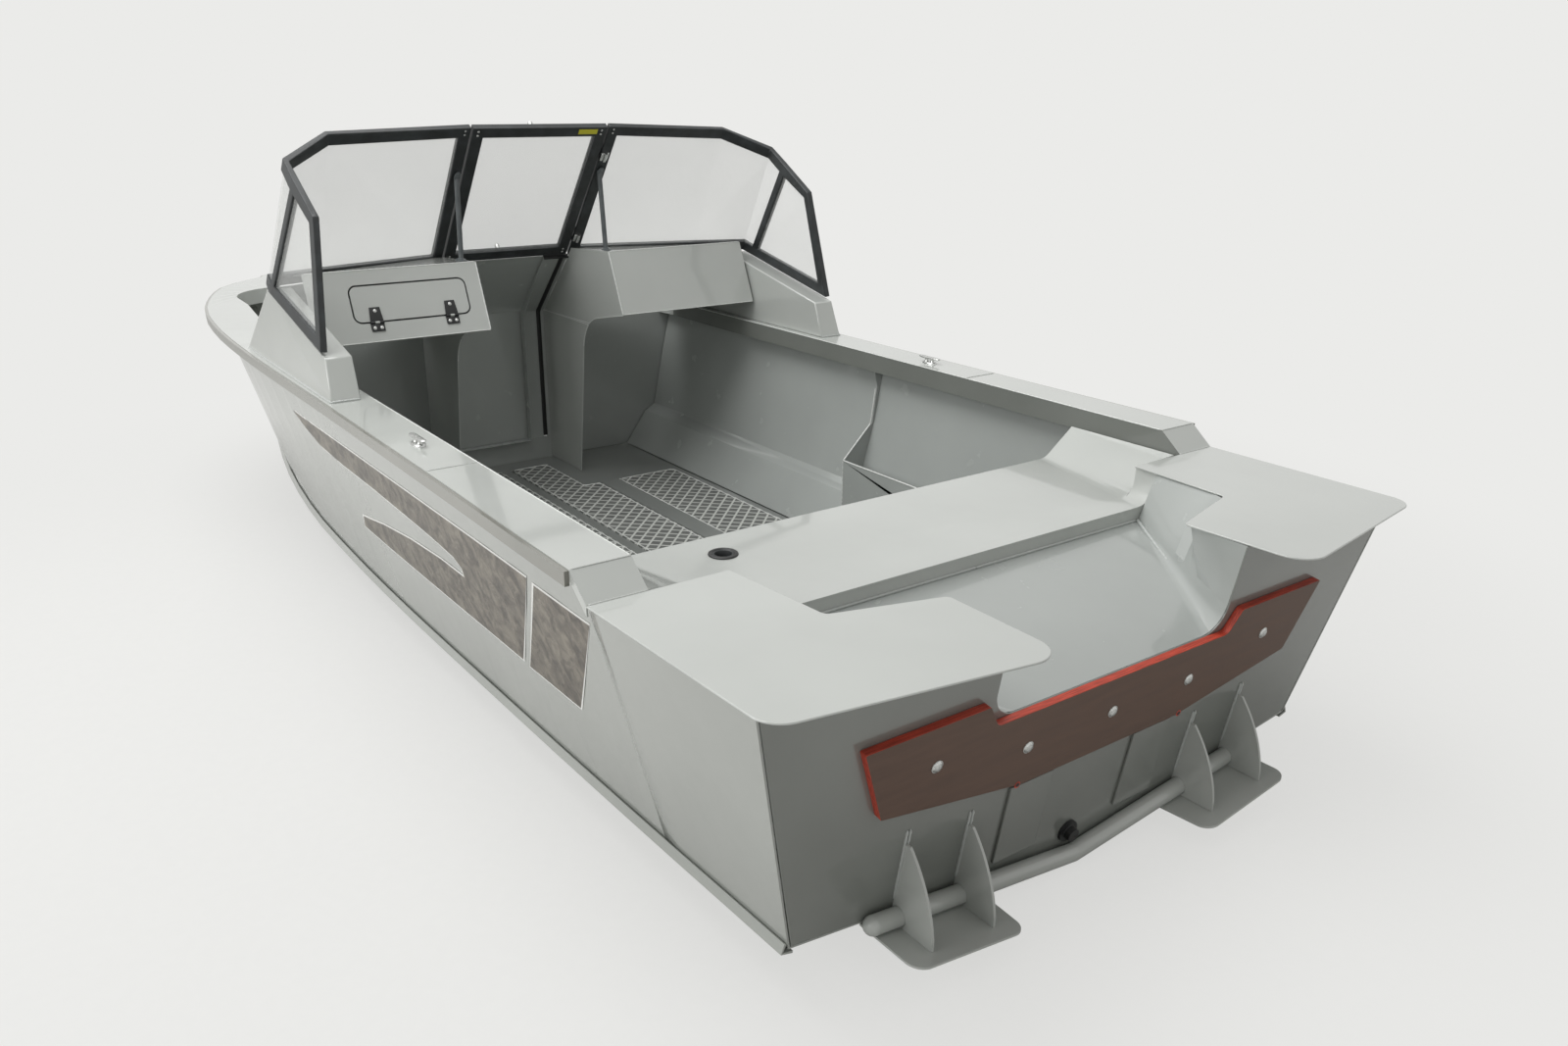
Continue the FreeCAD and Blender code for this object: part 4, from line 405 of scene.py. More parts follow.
def skin(name, shells, material, body="root", smooth=40):
    """One piece from several surfaces, each a grid of points with its two flags.

    A shell is (grid, around, ends): around joins the last column to the first, and ends
    closes the first and last rows.
    """
    points = []
    faces = []
    count = 0
    for grid, around, ends in shells:
        faces += grid_quads(grid.shape[:2], around, ends, count)
        points.append(grid.reshape(-1, 3))
        count += len(points[-1])
    mesh = bpy.data.meshes.new(name)
    mesh.from_pydata(np.concatenate(points).tolist(), [], faces)
    built = bmesh.new()
    built.from_mesh(mesh)
    bmesh.ops.remove_doubles(built, verts=built.verts, dist=1e-6)
    bmesh.ops.recalc_face_normals(built, faces=built.faces)
    built.to_mesh(mesh)
    built.free()
    mesh.shade_smooth()
    mesh.set_sharp_from_angle(angle=math.radians(smooth))
    return place_piece(name, mesh, material, body)


def carried(path, profile, up=(0.0, 0.0, 1.0)):
    """A profile carried along a path: each row is the profile set square to the path there."""
    path = np.asarray(path, float)
    along = np.gradient(path, axis=0)
    along /= np.linalg.norm(along, axis=1, keepdims=True)
    side = np.cross(along, np.asarray(up, float))
    side /= np.linalg.norm(side, axis=1, keepdims=True)
    over = np.cross(side, along)
    profile = np.asarray(profile, float)
    return path[:, None] + side[:, None] * profile[None, :, :1] + over[:, None] * profile[None, :, 1:]


def turned(profile, centre, axis, steps=28):
    """A profile of (radius, height) pairs turned round an axis through a centre."""
    axis = np.asarray(axis, float) / np.linalg.norm(axis)
    other = np.array([0.0, 1.0, 0.0]) if abs(axis[1]) < 0.9 else np.array([1.0, 0.0, 0.0])
    first = np.cross(axis, other)
    first /= np.linalg.norm(first)
    second = np.cross(axis, first)
    angle = np.linspace(0, 2 * math.pi, steps, endpoint=False)
    ring = np.cos(angle)[:, None] * first + np.sin(angle)[:, None] * second
    profile = np.asarray(profile, float)
    return np.asarray(centre, float) + profile[:, None, :1] * ring[None] + profile[:, None, 1:] * axis


def lathe(profile, centre, axis, steps=28):
    """A turned profile as a shell without end caps, for one that runs in to the axis itself
    or stays open."""
    return turned(profile, centre, axis, steps), True, False


def resampled(points, step):
    """A path's points spaced evenly, a step apart."""
    points = np.asarray(points, float)
    run = np.concatenate([[0], np.cumsum(np.linalg.norm(np.diff(points, axis=0), axis=1))])
    count = max(int(run[-1] / step), 2) + 1
    where = np.linspace(0, run[-1], count)
    return np.stack([np.interp(where, run, points[:, k]) for k in range(3)], axis=1)


def mirrored(shells):
    """The same surfaces on the other side of the centreline as well."""
    flip = np.array([1.0, -1.0, 1.0])
    return shells + [(grid * flip, around, ends) for grid, around, ends in shells]


def bead(points, radius, step=0.006):
    """A run of weld or a dressed edge: a round section along a path, its radius up and down by
    16 hundredths in a sine from point to point and down to four tenths at the ends."""
    path = resampled(points, step)
    angle = np.linspace(0, 2 * math.pi, 8, endpoint=False)
    circle = np.stack([np.cos(angle), np.sin(angle)], axis=1)
    swell = radius * (1 + 0.16 * np.sin(np.arange(len(path)) * 2.1))
    swell[[0, -1]] *= 0.4
    grid = carried(path, circle, (0.31, 0.17, 0.93))
    return path[:, None] + (grid - path[:, None]) * swell[:, None, None], True, True


def bolt_head(centre, axis, radius, height):
    """A round-head bolt: a dome of given radius and height over a thin flat rim, as a turned
    profile in shares of both."""
    profile = [
        (0, height), (radius * 0.42, height * 0.93), (radius * 0.74, height * 0.66),
        (radius * 0.86, height * 0.3), (radius * 0.88, height * 0.22), (radius, height * 0.18),
        (radius, -0.0006), (0, -0.0006),
    ]
    return lathe(profile, centre, axis)


def slab(corners, out, thick):
    """A flat plate with a chamfered edge: its outline, the outline raised by seven tenths of the
    thickness, and the outline shrunk to 94 hundredths about its middle at full thickness."""
    foot = np.asarray(corners, float)
    rise = np.asarray(out, float) * thick
    middle = foot.mean(axis=0)
    return np.stack([foot, foot + rise * 0.7, middle + (foot - middle) * 0.94 + rise]), True, True


def softened(node, material, body, radius, facing=None):
    """A CAD sheet with its edges rounded as a press or a grinder leaves them.

    facing is (direction, material): faces that look that way take another material.
    """
    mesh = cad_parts[node].data.copy()
    mesh.name = node + "_skin"
    built = bmesh.new()
    built.from_mesh(mesh)
    bmesh.ops.remove_doubles(built, verts=built.verts, dist=1e-5)
    bmesh.ops.dissolve_limit(
        built, angle_limit=math.radians(FLAT), verts=built.verts, edges=built.edges
    )
    built.to_mesh(mesh)
    built.free()
    mesh.materials.clear()
    mesh.materials.append(MATERIALS[material])
    if facing:
        mesh.materials.append(MATERIALS[facing[1]])
        normals = np.empty(len(mesh.polygons) * 3)
        mesh.polygons.foreach_get("normal", normals)
        looks = normals.reshape(-1, 3) @ np.array(facing[0]) > 0.9
        mesh.polygons.foreach_set("material_index", looks.astype(np.int32))
    mesh.shade_smooth()
    mesh.set_sharp_from_angle(angle=math.radians(SHARP))
    piece = place_piece(node + "_skin", mesh, material, body)
    bevel = piece.modifiers.new("edges", "BEVEL")
    bevel.width = radius
    bevel.segments = 2
    bevel.limit_method = "ANGLE"
    bevel.angle_limit = math.radians(PRESSED)
    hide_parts(node)
    return piece


# Sheets of the boat: node, material, finish slot, body, rounded edge in metres

SHEETS = [
    ("hull_bottom", "hull", "hull_paint", "root", 0.001),
    ("hull_side_port", "hull", "hull_paint", "root", 0.001),
    ("hull_side_starboard", "hull", "hull_paint", "root", 0.001),
    ("transom", "transom", "hull_paint", "root", 0.0012),
    ("keel", "hull", "hull_paint", "root", 0.003),
    ("chine_rails", "hull", "hull_paint", "root", 0.0015),
    ("side_deck_port", "deck", "deck_paint", "root", 0.0018),
    ("side_deck_starboard", "deck", "deck_paint", "root", 0.0018),
    ("bow_deck", "deck", "deck_paint", "root", 0.0018),
    ("platform_port", "deck", "deck_paint", "root", 0.0015),
    ("platform_starboard", "deck", "deck_paint", "root", 0.0015),
    ("rub_rail", "rail", "deck_paint", "root", 0.004),
    ("aft_bench", "deck", "deck_paint", "root", 0.001),
    ("splash_well", "inside", "liner_paint", "root", 0.001),
    ("floor", "sole", "liner_paint", "root", 0.0015),
    ("liner_port", "inside", "liner_paint", "root", 0.001),
    ("liner_starboard", "inside", "liner_paint", "root", 0.001),
    ("side_pocket_port", "inside", "liner_paint", "root", 0.001),
    ("side_pocket_starboard", "inside", "liner_paint", "root", 0.001),
    ("console_port", "deck", "deck_paint", "root", 0.001),
    ("console_starboard", "deck", "deck_paint", "root", 0.001),
    ("bulkhead_port", "inside", "liner_paint", "root", 0.001),
    ("bulkhead_starboard", "inside", "liner_paint", "root", 0.001),
    ("coaming_port", "deck", "deck_paint", "root", 0.004),
    ("coaming_starboard", "deck", "deck_paint", "root", 0.004),
    ("fairing_port", "deck", "deck_paint", "root", 0.001),
    ("fairing_starboard", "deck", "deck_paint", "root", 0.001),
    ("windshield_frame_port", "frame", "frame_paint", "root", 0.0025),
    ("windshield_frame_starboard", "frame", "frame_paint", "root", 0.0025),
    ("window_frame", "frame", "frame_paint", "window", 0.0015),
    ("passage_frame", "inside", "liner_paint", "root", 0.001),
    ("passage_door", "inside", "liner_paint", "door", 0.0012),
    ("glovebox_lid", "deck", "deck_paint", "lid", 0.001),
    ("bow_locker", "deck", "deck_paint", "root", 0.001),
    ("doubler_strips", "transom", "hull_paint", "root", 0.0015),
    ("trim_tab_port", "deck", "hull_paint", "root", 0.0015),
    ("trim_tab_starboard", "deck", "hull_paint", "root", 0.0015),
]
# Painted shade: faces of the deck's inboard flanges that look inboard take the darker transom coat for the
# shade they stand in
INBOARD_PAINTED_SHADE = {
    "side_deck_port": ((0, -1, 0), "transom"),
    "side_deck_starboard": ((0, 1, 0), "transom"),
}
for node, material, slot, body, radius in SHEETS:
    softened(node, material, body, radius, INBOARD_PAINTED_SHADE.get(node))

pad_out = Vector((-1, 0, -TRANSOM_RAKE)).normalized()
softened("transom_pad", "edge", "root", 0.0015, (pad_out, "board"))

# Pieces whose solid is already right take only their finish

FINISHES = {
    "tread_panels": "tread", "windshield_glass_port": "glass", "windshield_glass_starboard": "glass",
    "window_glass": "glass", "window_hinges": "black", "struts": "rod", "door_hinges": "inside",
    "glovebox_box": "inside", "lid_hinges": "black", "bow_eye": "steel", "stern_tube": "deck",
    "drain_plug": "plastic",
}
for node, material in FINISHES.items():
    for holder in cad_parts[node].material_slots:
        holder.material = MATERIALS[material]


# Bronze film on the sides, laid on white film that shows as an outline

port_side = np.array([v.co[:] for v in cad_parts["hull_side_port"].data.vertices])


def side_edge(low, high):
    """Stations along the hull side's outer face in a band of heights: x, y and z.

    Points less than 20 mm apart along the boat are one station, and its y is the outermost.
    """
    band = port_side[(port_side[:, 2] > low) & (port_side[:, 2] < high) & (port_side[:, 0] < 3.6)]
    band = band[np.argsort(band[:, 0])]
    starts = np.concatenate([[0], np.where(np.diff(band[:, 0]) > 0.02)[0] + 1])
    outermost = np.maximum.reduceat(band[:, 1], starts)
    return band[starts, 0], outermost, band[starts, 2]


chine_line = side_edge(-0.06, 0.12)
top_line = side_edge(0.50, 0.60)


def on_side(x, z, proud):
    """Points on the port side at stations and heights, standing proud of it: straight from
    the chine's outer line up to the deck's line."""
    x = np.asarray(x, float)
    low_y, low_z = np.interp(x, *chine_line[:2]), np.interp(x, chine_line[0], chine_line[2])
    high_y, high_z = np.interp(x, *top_line[:2]), np.interp(x, top_line[0], top_line[2])
    y = low_y + (high_y - low_y) * (z - low_z) / (high_z - low_z) + proud
    return np.stack([x, y, np.broadcast_to(z, x.shape)], axis=-1)


def film_patch(upper, lower, proud, grow):
    """Film between an upper and a lower edge of (x, z) points, in straight lines from one to
    the other. It grows by a margin above, six tenths of it below and eight tenths at the ends."""
    steps = np.linspace(0, 1, 61)
    edges = []
    for edge, lift in ((upper, grow), (lower, -grow * 0.6)):
        edge = np.asarray(edge, float)
        run = np.concatenate([[0], np.cumsum(np.linalg.norm(np.diff(edge, axis=0), axis=1))])
        run /= run[-1]
        line = np.stack([np.interp(steps, run, edge[:, 0]), np.interp(steps, run, edge[:, 1])], axis=1)
        line[0, 0] += grow * 0.8
        line[-1, 0] -= grow * 0.8
        line[:, 1] += lift
        edges.append(line)
    across = np.linspace(0, 1, 9)[None, :, None]
    flat = edges[0][:, None] * (1 - across) + edges[1][:, None] * across
    return on_side(flat[..., 0], flat[..., 1], proud), False, False


# Outline points of the film: station and height, from the bow aft
LONG_TOP = [(2.521, 0.440), (1.548, 0.450), (1.205, 0.4537)]
LONG_LOW = [(2.521, 0.440), (2.428, 0.405), (2.304, 0.376), (2.085, 0.366), (1.819, 0.366),
            (1.591, 0.360), (1.384, 0.353), (1.245, 0.343), (1.205, 0.325)]
FINGER_TOP = [(2.045, 0.212), (1.98, 0.222), (1.824, 0.250), (1.583, 0.281), (1.361, 0.298),
              (1.205, 0.300)]
FINGER_LOW = [(2.070, 0.171), (1.754, 0.172), (1.423, 0.174), (1.205, 0.176)]
BLOCK_TOP = [(1.205, 0.4537), (0.756, 0.458)]
BLOCK_LOW = [(1.205, 0.176), (0.947, 0.178)]
SHORT_TOP = [(0.724, 0.452), (0.477, 0.454)]
SHORT_LOW = [(0.913, 0.174), (0.663, 0.178)]
FILMS = (
    (LONG_TOP, LONG_LOW), (FINGER_TOP, FINGER_LOW), (BLOCK_TOP, BLOCK_LOW), (SHORT_TOP, SHORT_LOW),
)
# Name, material, height above the paint and margin
LAYERS = (("film_outline", "white", 0.0007, 0.006), ("film", "film", 0.0011, 0.0))
for label, material, proud, grow in LAYERS:
    patches = [film_patch(top, low, proud, grow) for top, low in FILMS]
    skin(label, mirrored(patches), material, smooth=60)

# Welds


def on_transom(y, z, distance=0.0):
    """A point on the transom's outer face, or a distance outside it."""
    return np.array([-TRANSOM_RAKE * (z + CHINE_DROP), y, z]) + np.array(pad_out) * distance


# Path and radius of each run: the coaming's foot and its aft end, the splash well's tray along
# its side and under the bench, and the fairing's foot
WELDS = (
    ([(1.971, 0.905, 0.581), (2.911, 0.903, 0.581)], 0.0045),
    ([(1.971, 0.904, 0.582), (1.971, 0.823, 0.582)], 0.004),
    ([(-0.057, 0.338, 0.330), (0.339, 0.552, 0.418)], 0.0045),
    ([(0.3385, 0.0, 0.4165), (0.3385, 0.548, 0.4165)], 0.0035),
    ([(3.058, 0.262, 0.581), (2.915, 0.890, 0.581)], 0.004),
)
welds = [bead(path, radius) for path, radius in WELDS]
for gusset in GUSSET_PLACES:
    low = TRANSOM_FOOT + TRANSOM_DEADRISE * gusset / CHINE_HALF + GUSSET_LIFT
    for beside in (-0.001, 0.007):
        run = [on_transom(gusset + beside, z, 0.001) for z in (low + GUSSET_WELD, low)]
        welds.append(bead(run, 0.003))
for doubler_edge in DOUBLER_EDGES:
    run = [on_transom(doubler_edge, z, 0.0042) for z in DOUBLER_SPAN]
    welds.append(bead(run, 0.0016))
skin("weld_runs", mirrored(welds), "bead", smooth=70)

# Raw edges of the sheets, dressed round, with a painted highlight: their pale coat stands in for the light
# along the edges


def wall_rim(node, side, low, high):
    """The aftmost line of a wall that stands at a half width, between two heights."""
    cloud = np.array([v.co[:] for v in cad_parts[node].data.vertices])
    cloud = cloud[(abs(cloud[:, 1] - side) < 0.0006) & (cloud[:, 2] > low) & (cloud[:, 2] < high)]
    cloud = cloud[np.lexsort((cloud[:, 0], cloud[:, 2].round(3)))]
    first = np.concatenate([[True], np.diff(cloud[:, 2].round(3)) > 0])
    return cloud[first]


# Path and radius of each rim: the console's knee wall, the inboard edge, top and foot of its
# face, the pocket's rib and panel, and the deck's edge along the cockpit
RIMS = (
    (wall_rim("console_port", 0.25, -0.02, 0.66), 0.0018),
    ([(2.392, CONSOLE_WALL, CONSOLE_LOW), (2.483, CONSOLE_WALL, CONSOLE_HIGH)], 0.0024),
    ([(2.484, 0.252, CONSOLE_HIGH), (2.484, CONSOLE_SIDE, CONSOLE_HIGH)], 0.0020),
    ([(2.3905, 0.252, CONSOLE_LOW), (2.3905, CONSOLE_SIDE, CONSOLE_LOW)], 0.0016),
    ([(1.648, 0.674, 0.07), (1.648, 0.674, 0.225), (1.648, 0.790, 0.338), (1.648, 0.808, 0.46)], 0.0026),
    ([(1.646, 0.673, 0.226), (0.768, 0.673, 0.226)], 0.0026),
    ([(0.475, 0.7905, 0.580), (2.94, 0.7905, 0.580)], 0.0016),
)
rims = [bead(path, radius) for path, radius in RIMS]
skin("sheet_rims", mirrored(rims), "painted_highlight", smooth=70)

# Smooth border round each tread panel, proud of the rolled pattern, in the pale coat of painted highlight


def panel_border(corners):
    """A closed run along a panel's edge, set in from it."""
    return bead([(x, y, TREAD_TOP) for x, y in corners + corners[:1]], 0.0022, 0.02)


BORDERS = (
    [(0.906, 0.324), (2.604, 0.324), (2.604, 0.564), (0.906, 0.564)],
    [(0.906, 0.026), (2.944, 0.026), (2.944, 0.169), (2.606, 0.169), (2.604, 0.233), (0.906, 0.233)],
)
borders = [panel_border(corners) for corners in BORDERS]
skin("tread_borders", mirrored(borders), "painted_highlight", smooth=70)

# Joints between deck sheets, ground flat but still showing as fine raised lines:
# station, inner end, height and radius
JOINTS = (
    (1.205, 0.792, 0.5803, 0.0016), (0.4065, 0.79, 0.5297, 0.0025), (0.469, 0.79, 0.5797, 0.0016),
    (2.951, 0.79, 0.5801, 0.0016),
)
joints = [bead([(x, inner, z), (x, 0.915, z)], radius, 0.004) for x, inner, z, radius in JOINTS]
skin("deck_joints", mirrored(joints), "deck", smooth=70)

# Bolts through the transom board, and the holes left open in it

BOLTS = ((0.489, 0.288), (-0.489, 0.288), (0.244, 0.241), (-0.244, 0.241), (0.0, 0.241))
heads = [bolt_head(on_transom(y, z, BOARD_THICK), pad_out, 0.0135, 0.0062) for y, z in BOLTS]
skin("pad_bolts", heads, "steel", smooth=50)
hole_places = [on_transom(y, 0.152, BOARD_THICK) for y in (0.248, -0.248)]
HOLE_RIM = [(0.0072, 0.0005), (0.0078, 0.0003), (0.0078, -0.0005)]
hole_rims = [(turned(HOLE_RIM, centre, pad_out), True, True) for centre in hole_places]
skin("pad_hole_rims", hole_rims, "edge", smooth=50)
HOLE_BOTTOM = [(0.0, 0.0009), (0.0045, 0.0009), (0.0048, 0.0)]
hole_bottoms = [lathe(HOLE_BOTTOM, centre, pad_out) for centre in hole_places]
skin("pad_hole_bottoms", hole_bottoms, "plastic", smooth=50)

# Windshield fittings: screws at the bars' corners, knobs, clamps, strut ends and a blank tag

screen_out = np.array(SCREEN_OUT)
screen_in = -screen_out
screen_up = np.array(SCREEN_UP)


def on_screen(y, up, out=0.0):
    """A point on the middle window's inner face: half width, way up the slope, way out."""
    return np.array(SCREEN_FOOT) + np.array([0, y, 0]) + screen_up * up + screen_out * out


# Length of the middle window up its slope
SLOPE = 0.605
corner_screws = [
    bolt_head(on_screen(y, up), screen_in, 0.0042, 0.0022)
    for y in (0.266, -0.266) for up in (SLOPE - 0.012, SLOPE - 0.027, 0.012)
]
skin("post_screws", corner_screws, "steel", smooth=50)
window_screws = [
    bolt_head(on_screen(y, up), screen_in, 0.0042, 0.0022)
    for y in (0.221, -0.221) for up in (SLOPE - 0.016, SLOPE - 0.032, 0.020, 0.034)
]
skin("window_screws", window_screws, "steel", "window", smooth=50)
KNOB = [
    (0.0, 0.030), (0.006, 0.029), (0.0085, 0.025), (0.0085, 0.019), (0.0055, 0.014), (0.0055, 0.0),
    (0.0, 0.0),
]
knobs = [lathe(KNOB, on_screen(0.025, up, 0.020), screen_out) for up in (0.03, SLOPE - 0.02)]
skin("window_knobs", knobs, "steel", "window", smooth=50)
TAG_LOW = SLOPE - 0.030
TAG_HIGH = SLOPE - 0.010
tag_corners = ((-0.135, TAG_LOW), (-0.205, TAG_LOW), (-0.205, TAG_HIGH), (-0.135, TAG_HIGH))
tag = slab([on_screen(y, up, -0.0002) for y, up in tag_corners], screen_in, 0.0006)
skin("window_tag", [tag], "yellow", "window", smooth=50)
CLAMP_ARCH = [
    (-0.015, 0.0), (-0.014, 0.004), (-0.006, 0.006), (-0.005, 0.013), (0.005, 0.013), (0.006, 0.006),
    (0.014, 0.004), (0.015, 0.0),
]
clamps = []
for up in (0.092, 0.478):
    base = on_screen(-0.262, up)
    path = base + np.linspace(-0.5, 0.5, 7)[:, None] * screen_up * 0.034
    clamps.append((carried(path, CLAMP_ARCH, screen_in), True, True))
    for sign in (1, -1):
        beside = screen_up * 0.009 + np.array([0, 0.010, 0])
        clamps.append(bolt_head(base + sign * beside + screen_in * 0.005, screen_in, 0.0036, 0.002))
skin("post_clamps", clamps, "chrome", smooth=40)


def strut_end(point, along, out):
    """A strut's flattened end: ellipses along it, their width and depth read off short tables
    that take the round tube to a flat tongue with a rounded tip."""
    length = np.linspace(0, 0.040, 9)
    width = np.interp(length, [0, 0.010, 0.030, 0.040], [0.0075, 0.011, 0.011, 0.005])
    depth = np.interp(length, [0, 0.012, 0.040], [0.007, 0.0025, 0.0025])
    angle = np.linspace(0, 2 * math.pi, 14, endpoint=False)
    side = np.cross(along, out)
    side /= np.linalg.norm(side)
    across = np.cos(angle)[None, :, None] * side * width[:, None, None]
    through = np.sin(angle)[None, :, None] * out * depth[:, None, None]
    return point + length[:, None, None] * along + across + through, True, True


strut_bits = []
strut_low, strut_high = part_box("struts")
for sign in (1, -1):
    head = np.array([STRUT_HEAD[0], sign * STRUT_HEAD[1], strut_high[2] - 0.012])
    strut_bits.append(strut_end(head - screen_up * 0.012 - np.array([0.004, 0, 0]), screen_up, screen_in))
    for up in (0.008, 0.022):
        centre = head + screen_up * up - np.array([0.007, 0, 0])
        strut_bits.append(bolt_head(centre, screen_in, 0.0034, 0.002))
skin("strut_ends", strut_bits, "rod", smooth=45)
STRUT_FOOT = [
    (0.0, 0.008), (0.008, 0.008), (0.010, 0.004), (0.017, 0.003), (0.018, -0.001), (0.0, -0.001),
]
feet = [
    lathe(STRUT_FOOT, (STRUT_BASE[0], sign * STRUT_BASE[1], strut_low[2] + 0.004), (-0.12, 0, 0.99))
    for sign in (1, -1)
]
skin("strut_feet", feet, "rod", smooth=45)

# Rubber seals: beside the passage's fixed strip, and between its head and the window

SEAL = [
    (-0.0085, -0.002), (-0.0085, 0.003), (-0.003, 0.0045), (0.003, 0.0045), (0.0085, 0.003),
    (0.0085, -0.002),
]
JAMB = [(3.0575, -0.2252, 0.064), (3.0575, -0.2252, 0.578), (2.816, -0.2252, 0.8155)]
upright = resampled(JAMB, 0.02)
lintel = resampled([(2.8135, -0.2495, 0.8185), (2.8135, -0.152, 0.8185)], 0.02)
seals = [
    (carried(upright, SEAL, (-1.0, 0.0, 0.02)), True, True),
    (carried(lintel, SEAL, (-0.7, 0.0, 0.7)), True, True),
]
skin("passage_seals", seals, "plastic", smooth=50)

# Glovebox hinges: tapered black leaves with bright screws

# The console face: out of it, up it, and where it meets the opening's lower edge
FACE_OUT = np.array([-0.91937, 0.0, 0.39341])
FACE_UP = np.array([0.39341, 0.0, 0.91937])
FACE_FOOT = np.array([2.41539, 0.0, 0.710])


def on_face(y, up, out=0.0):
    """A point on the console face: half width, way up from the opening's lower edge, way out."""
    return FACE_FOOT + np.array([0, y, 0]) + FACE_UP * up + FACE_OUT * out


# Name, outline, screws and body of each leaf, measured from the hinge's middle
LEAVES = (
    ("upper", ((-0.021, 0.005), (0.021, 0.005), (0.0165, 0.050), (-0.0165, 0.050)), ((0.0, 0.038),), "lid"),
    ("lower", ((-0.021, -0.028), (0.021, -0.028), (0.021, -0.005), (-0.021, -0.005)),
     ((-0.011, -0.017), (0.011, -0.017)), "root"),
)
for place, leaf, screws, body in LEAVES:
    leaves = []
    dots = []
    for y in LID_HINGES:
        leaves.append(slab([on_face(y + dy, up, 0.0021) for dy, up in leaf], FACE_OUT, 0.0016))
        for dy, up in screws:
            dots.append(bolt_head(on_face(y + dy, up, 0.0037), FACE_OUT, 0.0055, 0.002))
    skin("lid_leaf_" + place, leaves, "black", body, smooth=35)
    skin("lid_screws_" + place, dots, "steel", body, smooth=50)

# Cleats: a base, two necks and a horn that rises and narrows to its rounded tips

NECK = [(0.0085, 0.003), (0.0062, 0.008), (0.006, 0.012), (0.008, 0.0165)]


def cleat_shells(centre):
    """Horn: ellipses along the cleat, sized by the square root of one less the way along to
    the sixth power; base: ellipses that shrink as they rise; necks: turned."""
    along = np.linspace(-1, 1, 25)
    full = np.sqrt(np.clip(1 - along ** 6, 0.004, 1))
    angle = np.linspace(0, 2 * math.pi, 16, endpoint=False)
    horn = np.empty((25, 16, 3))
    horn[..., 0] = along[:, None] * 0.048
    horn[..., 1] = np.cos(angle)[None] * 0.0095 * full[:, None]
    horn[..., 2] = np.sin(angle)[None] * 0.0045 * full[:, None] + 0.0165 + 0.001 * along[:, None] ** 2
    shells = [(horn + centre, True, True)]
    rise = np.array([0.0, 0.0025, 0.004, 0.005, 0.0052])
    spread_out = np.array([1.0, 0.99, 0.93, 0.8, 0.0])
    base = np.empty((5, 16, 3))
    base[..., 0] = np.cos(angle)[None] * 0.030 * spread_out[:, None]
    base[..., 1] = np.sin(angle)[None] * 0.017 * spread_out[:, None]
    base[..., 2] = rise[:, None]
    shells.append((base + centre, True, False))
    for neck in (-0.013, 0.013):
        shells.append(lathe(NECK, centre + np.array([neck, 0, 0]), (0, 0, 1), 16))
    return shells


cleat_centre = np.array([1.434, 0.8515, DECK_LEVEL])
cast = skin("cleats_cast", mirrored(cleat_shells(cleat_centre)), "steel", smooth=50)
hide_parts("cleats")

# Deck socket: a moulded flange with a dark ring and a sunk plug inside

socket_centre = np.array([0.655, 0.462, 0.450])
SOCKET_UP = (0.0, 0.0, 1.0)
FLANGE = [
    (0.020, -0.045), (0.0202, 0.0012), (0.0215, 0.0022), (0.0235, 0.0018), (0.0245, 0.0030),
    (0.0262, 0.0039), (0.0315, 0.0037), (0.0333, 0.0026), (0.0340, 0.0004), (0.0340, 0.0),
]
RING = [(0.0200, -0.030), (0.0196, 0.0010), (0.0205, 0.0022), (0.0222, 0.0024), (0.0232, 0.0019)]
PLUG = [(0.0, -0.010), (0.014, -0.010), (0.0188, -0.012), (0.0190, -0.040), (0.0, -0.040)]
flange = lathe(FLANGE, socket_centre, SOCKET_UP, 40)
moulding = skin("socket_moulding", [flange], "plastic", smooth=35)
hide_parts("deck_socket")
skin("socket_ring", [lathe(RING, socket_centre, SOCKET_UP, 40)], "frame", smooth=50)
skin("socket_plug", [lathe(PLUG, socket_centre, SOCKET_UP, 32)], "plastic", smooth=50)

# Drain plug: flange, ribbed cap and its wing

plug_centre = on_transom(0.016, -0.074)
plug_out = np.array(pad_out)
CAP = [
    (0.0, 0.0205), (0.012, 0.0200), (0.0145, 0.0175), (0.0155, 0.0085), (0.0175, 0.0068),
    (0.0245, 0.0060), (0.0258, 0.0042), (0.0260, 0.0),
]
WING = [(-0.0022, -0.002), (0.0022, -0.002), (0.0014, 0.0022), (-0.0014, 0.0022)]
wing_along = np.linspace(-0.010, 0.010, 5)[:, None] * np.array([0.0, 0.82, 0.57])
wing = carried(plug_centre + plug_out * 0.0195 + wing_along, WING, plug_out), True, True
cap = lathe(CAP, plug_centre, plug_out)
skin("drain_cap", [cap, wing], "plastic", smooth=35)

# Studio: pale floor and surroundings, a broad soft lamp above and to port

BACKDROP = "#ebebe9"


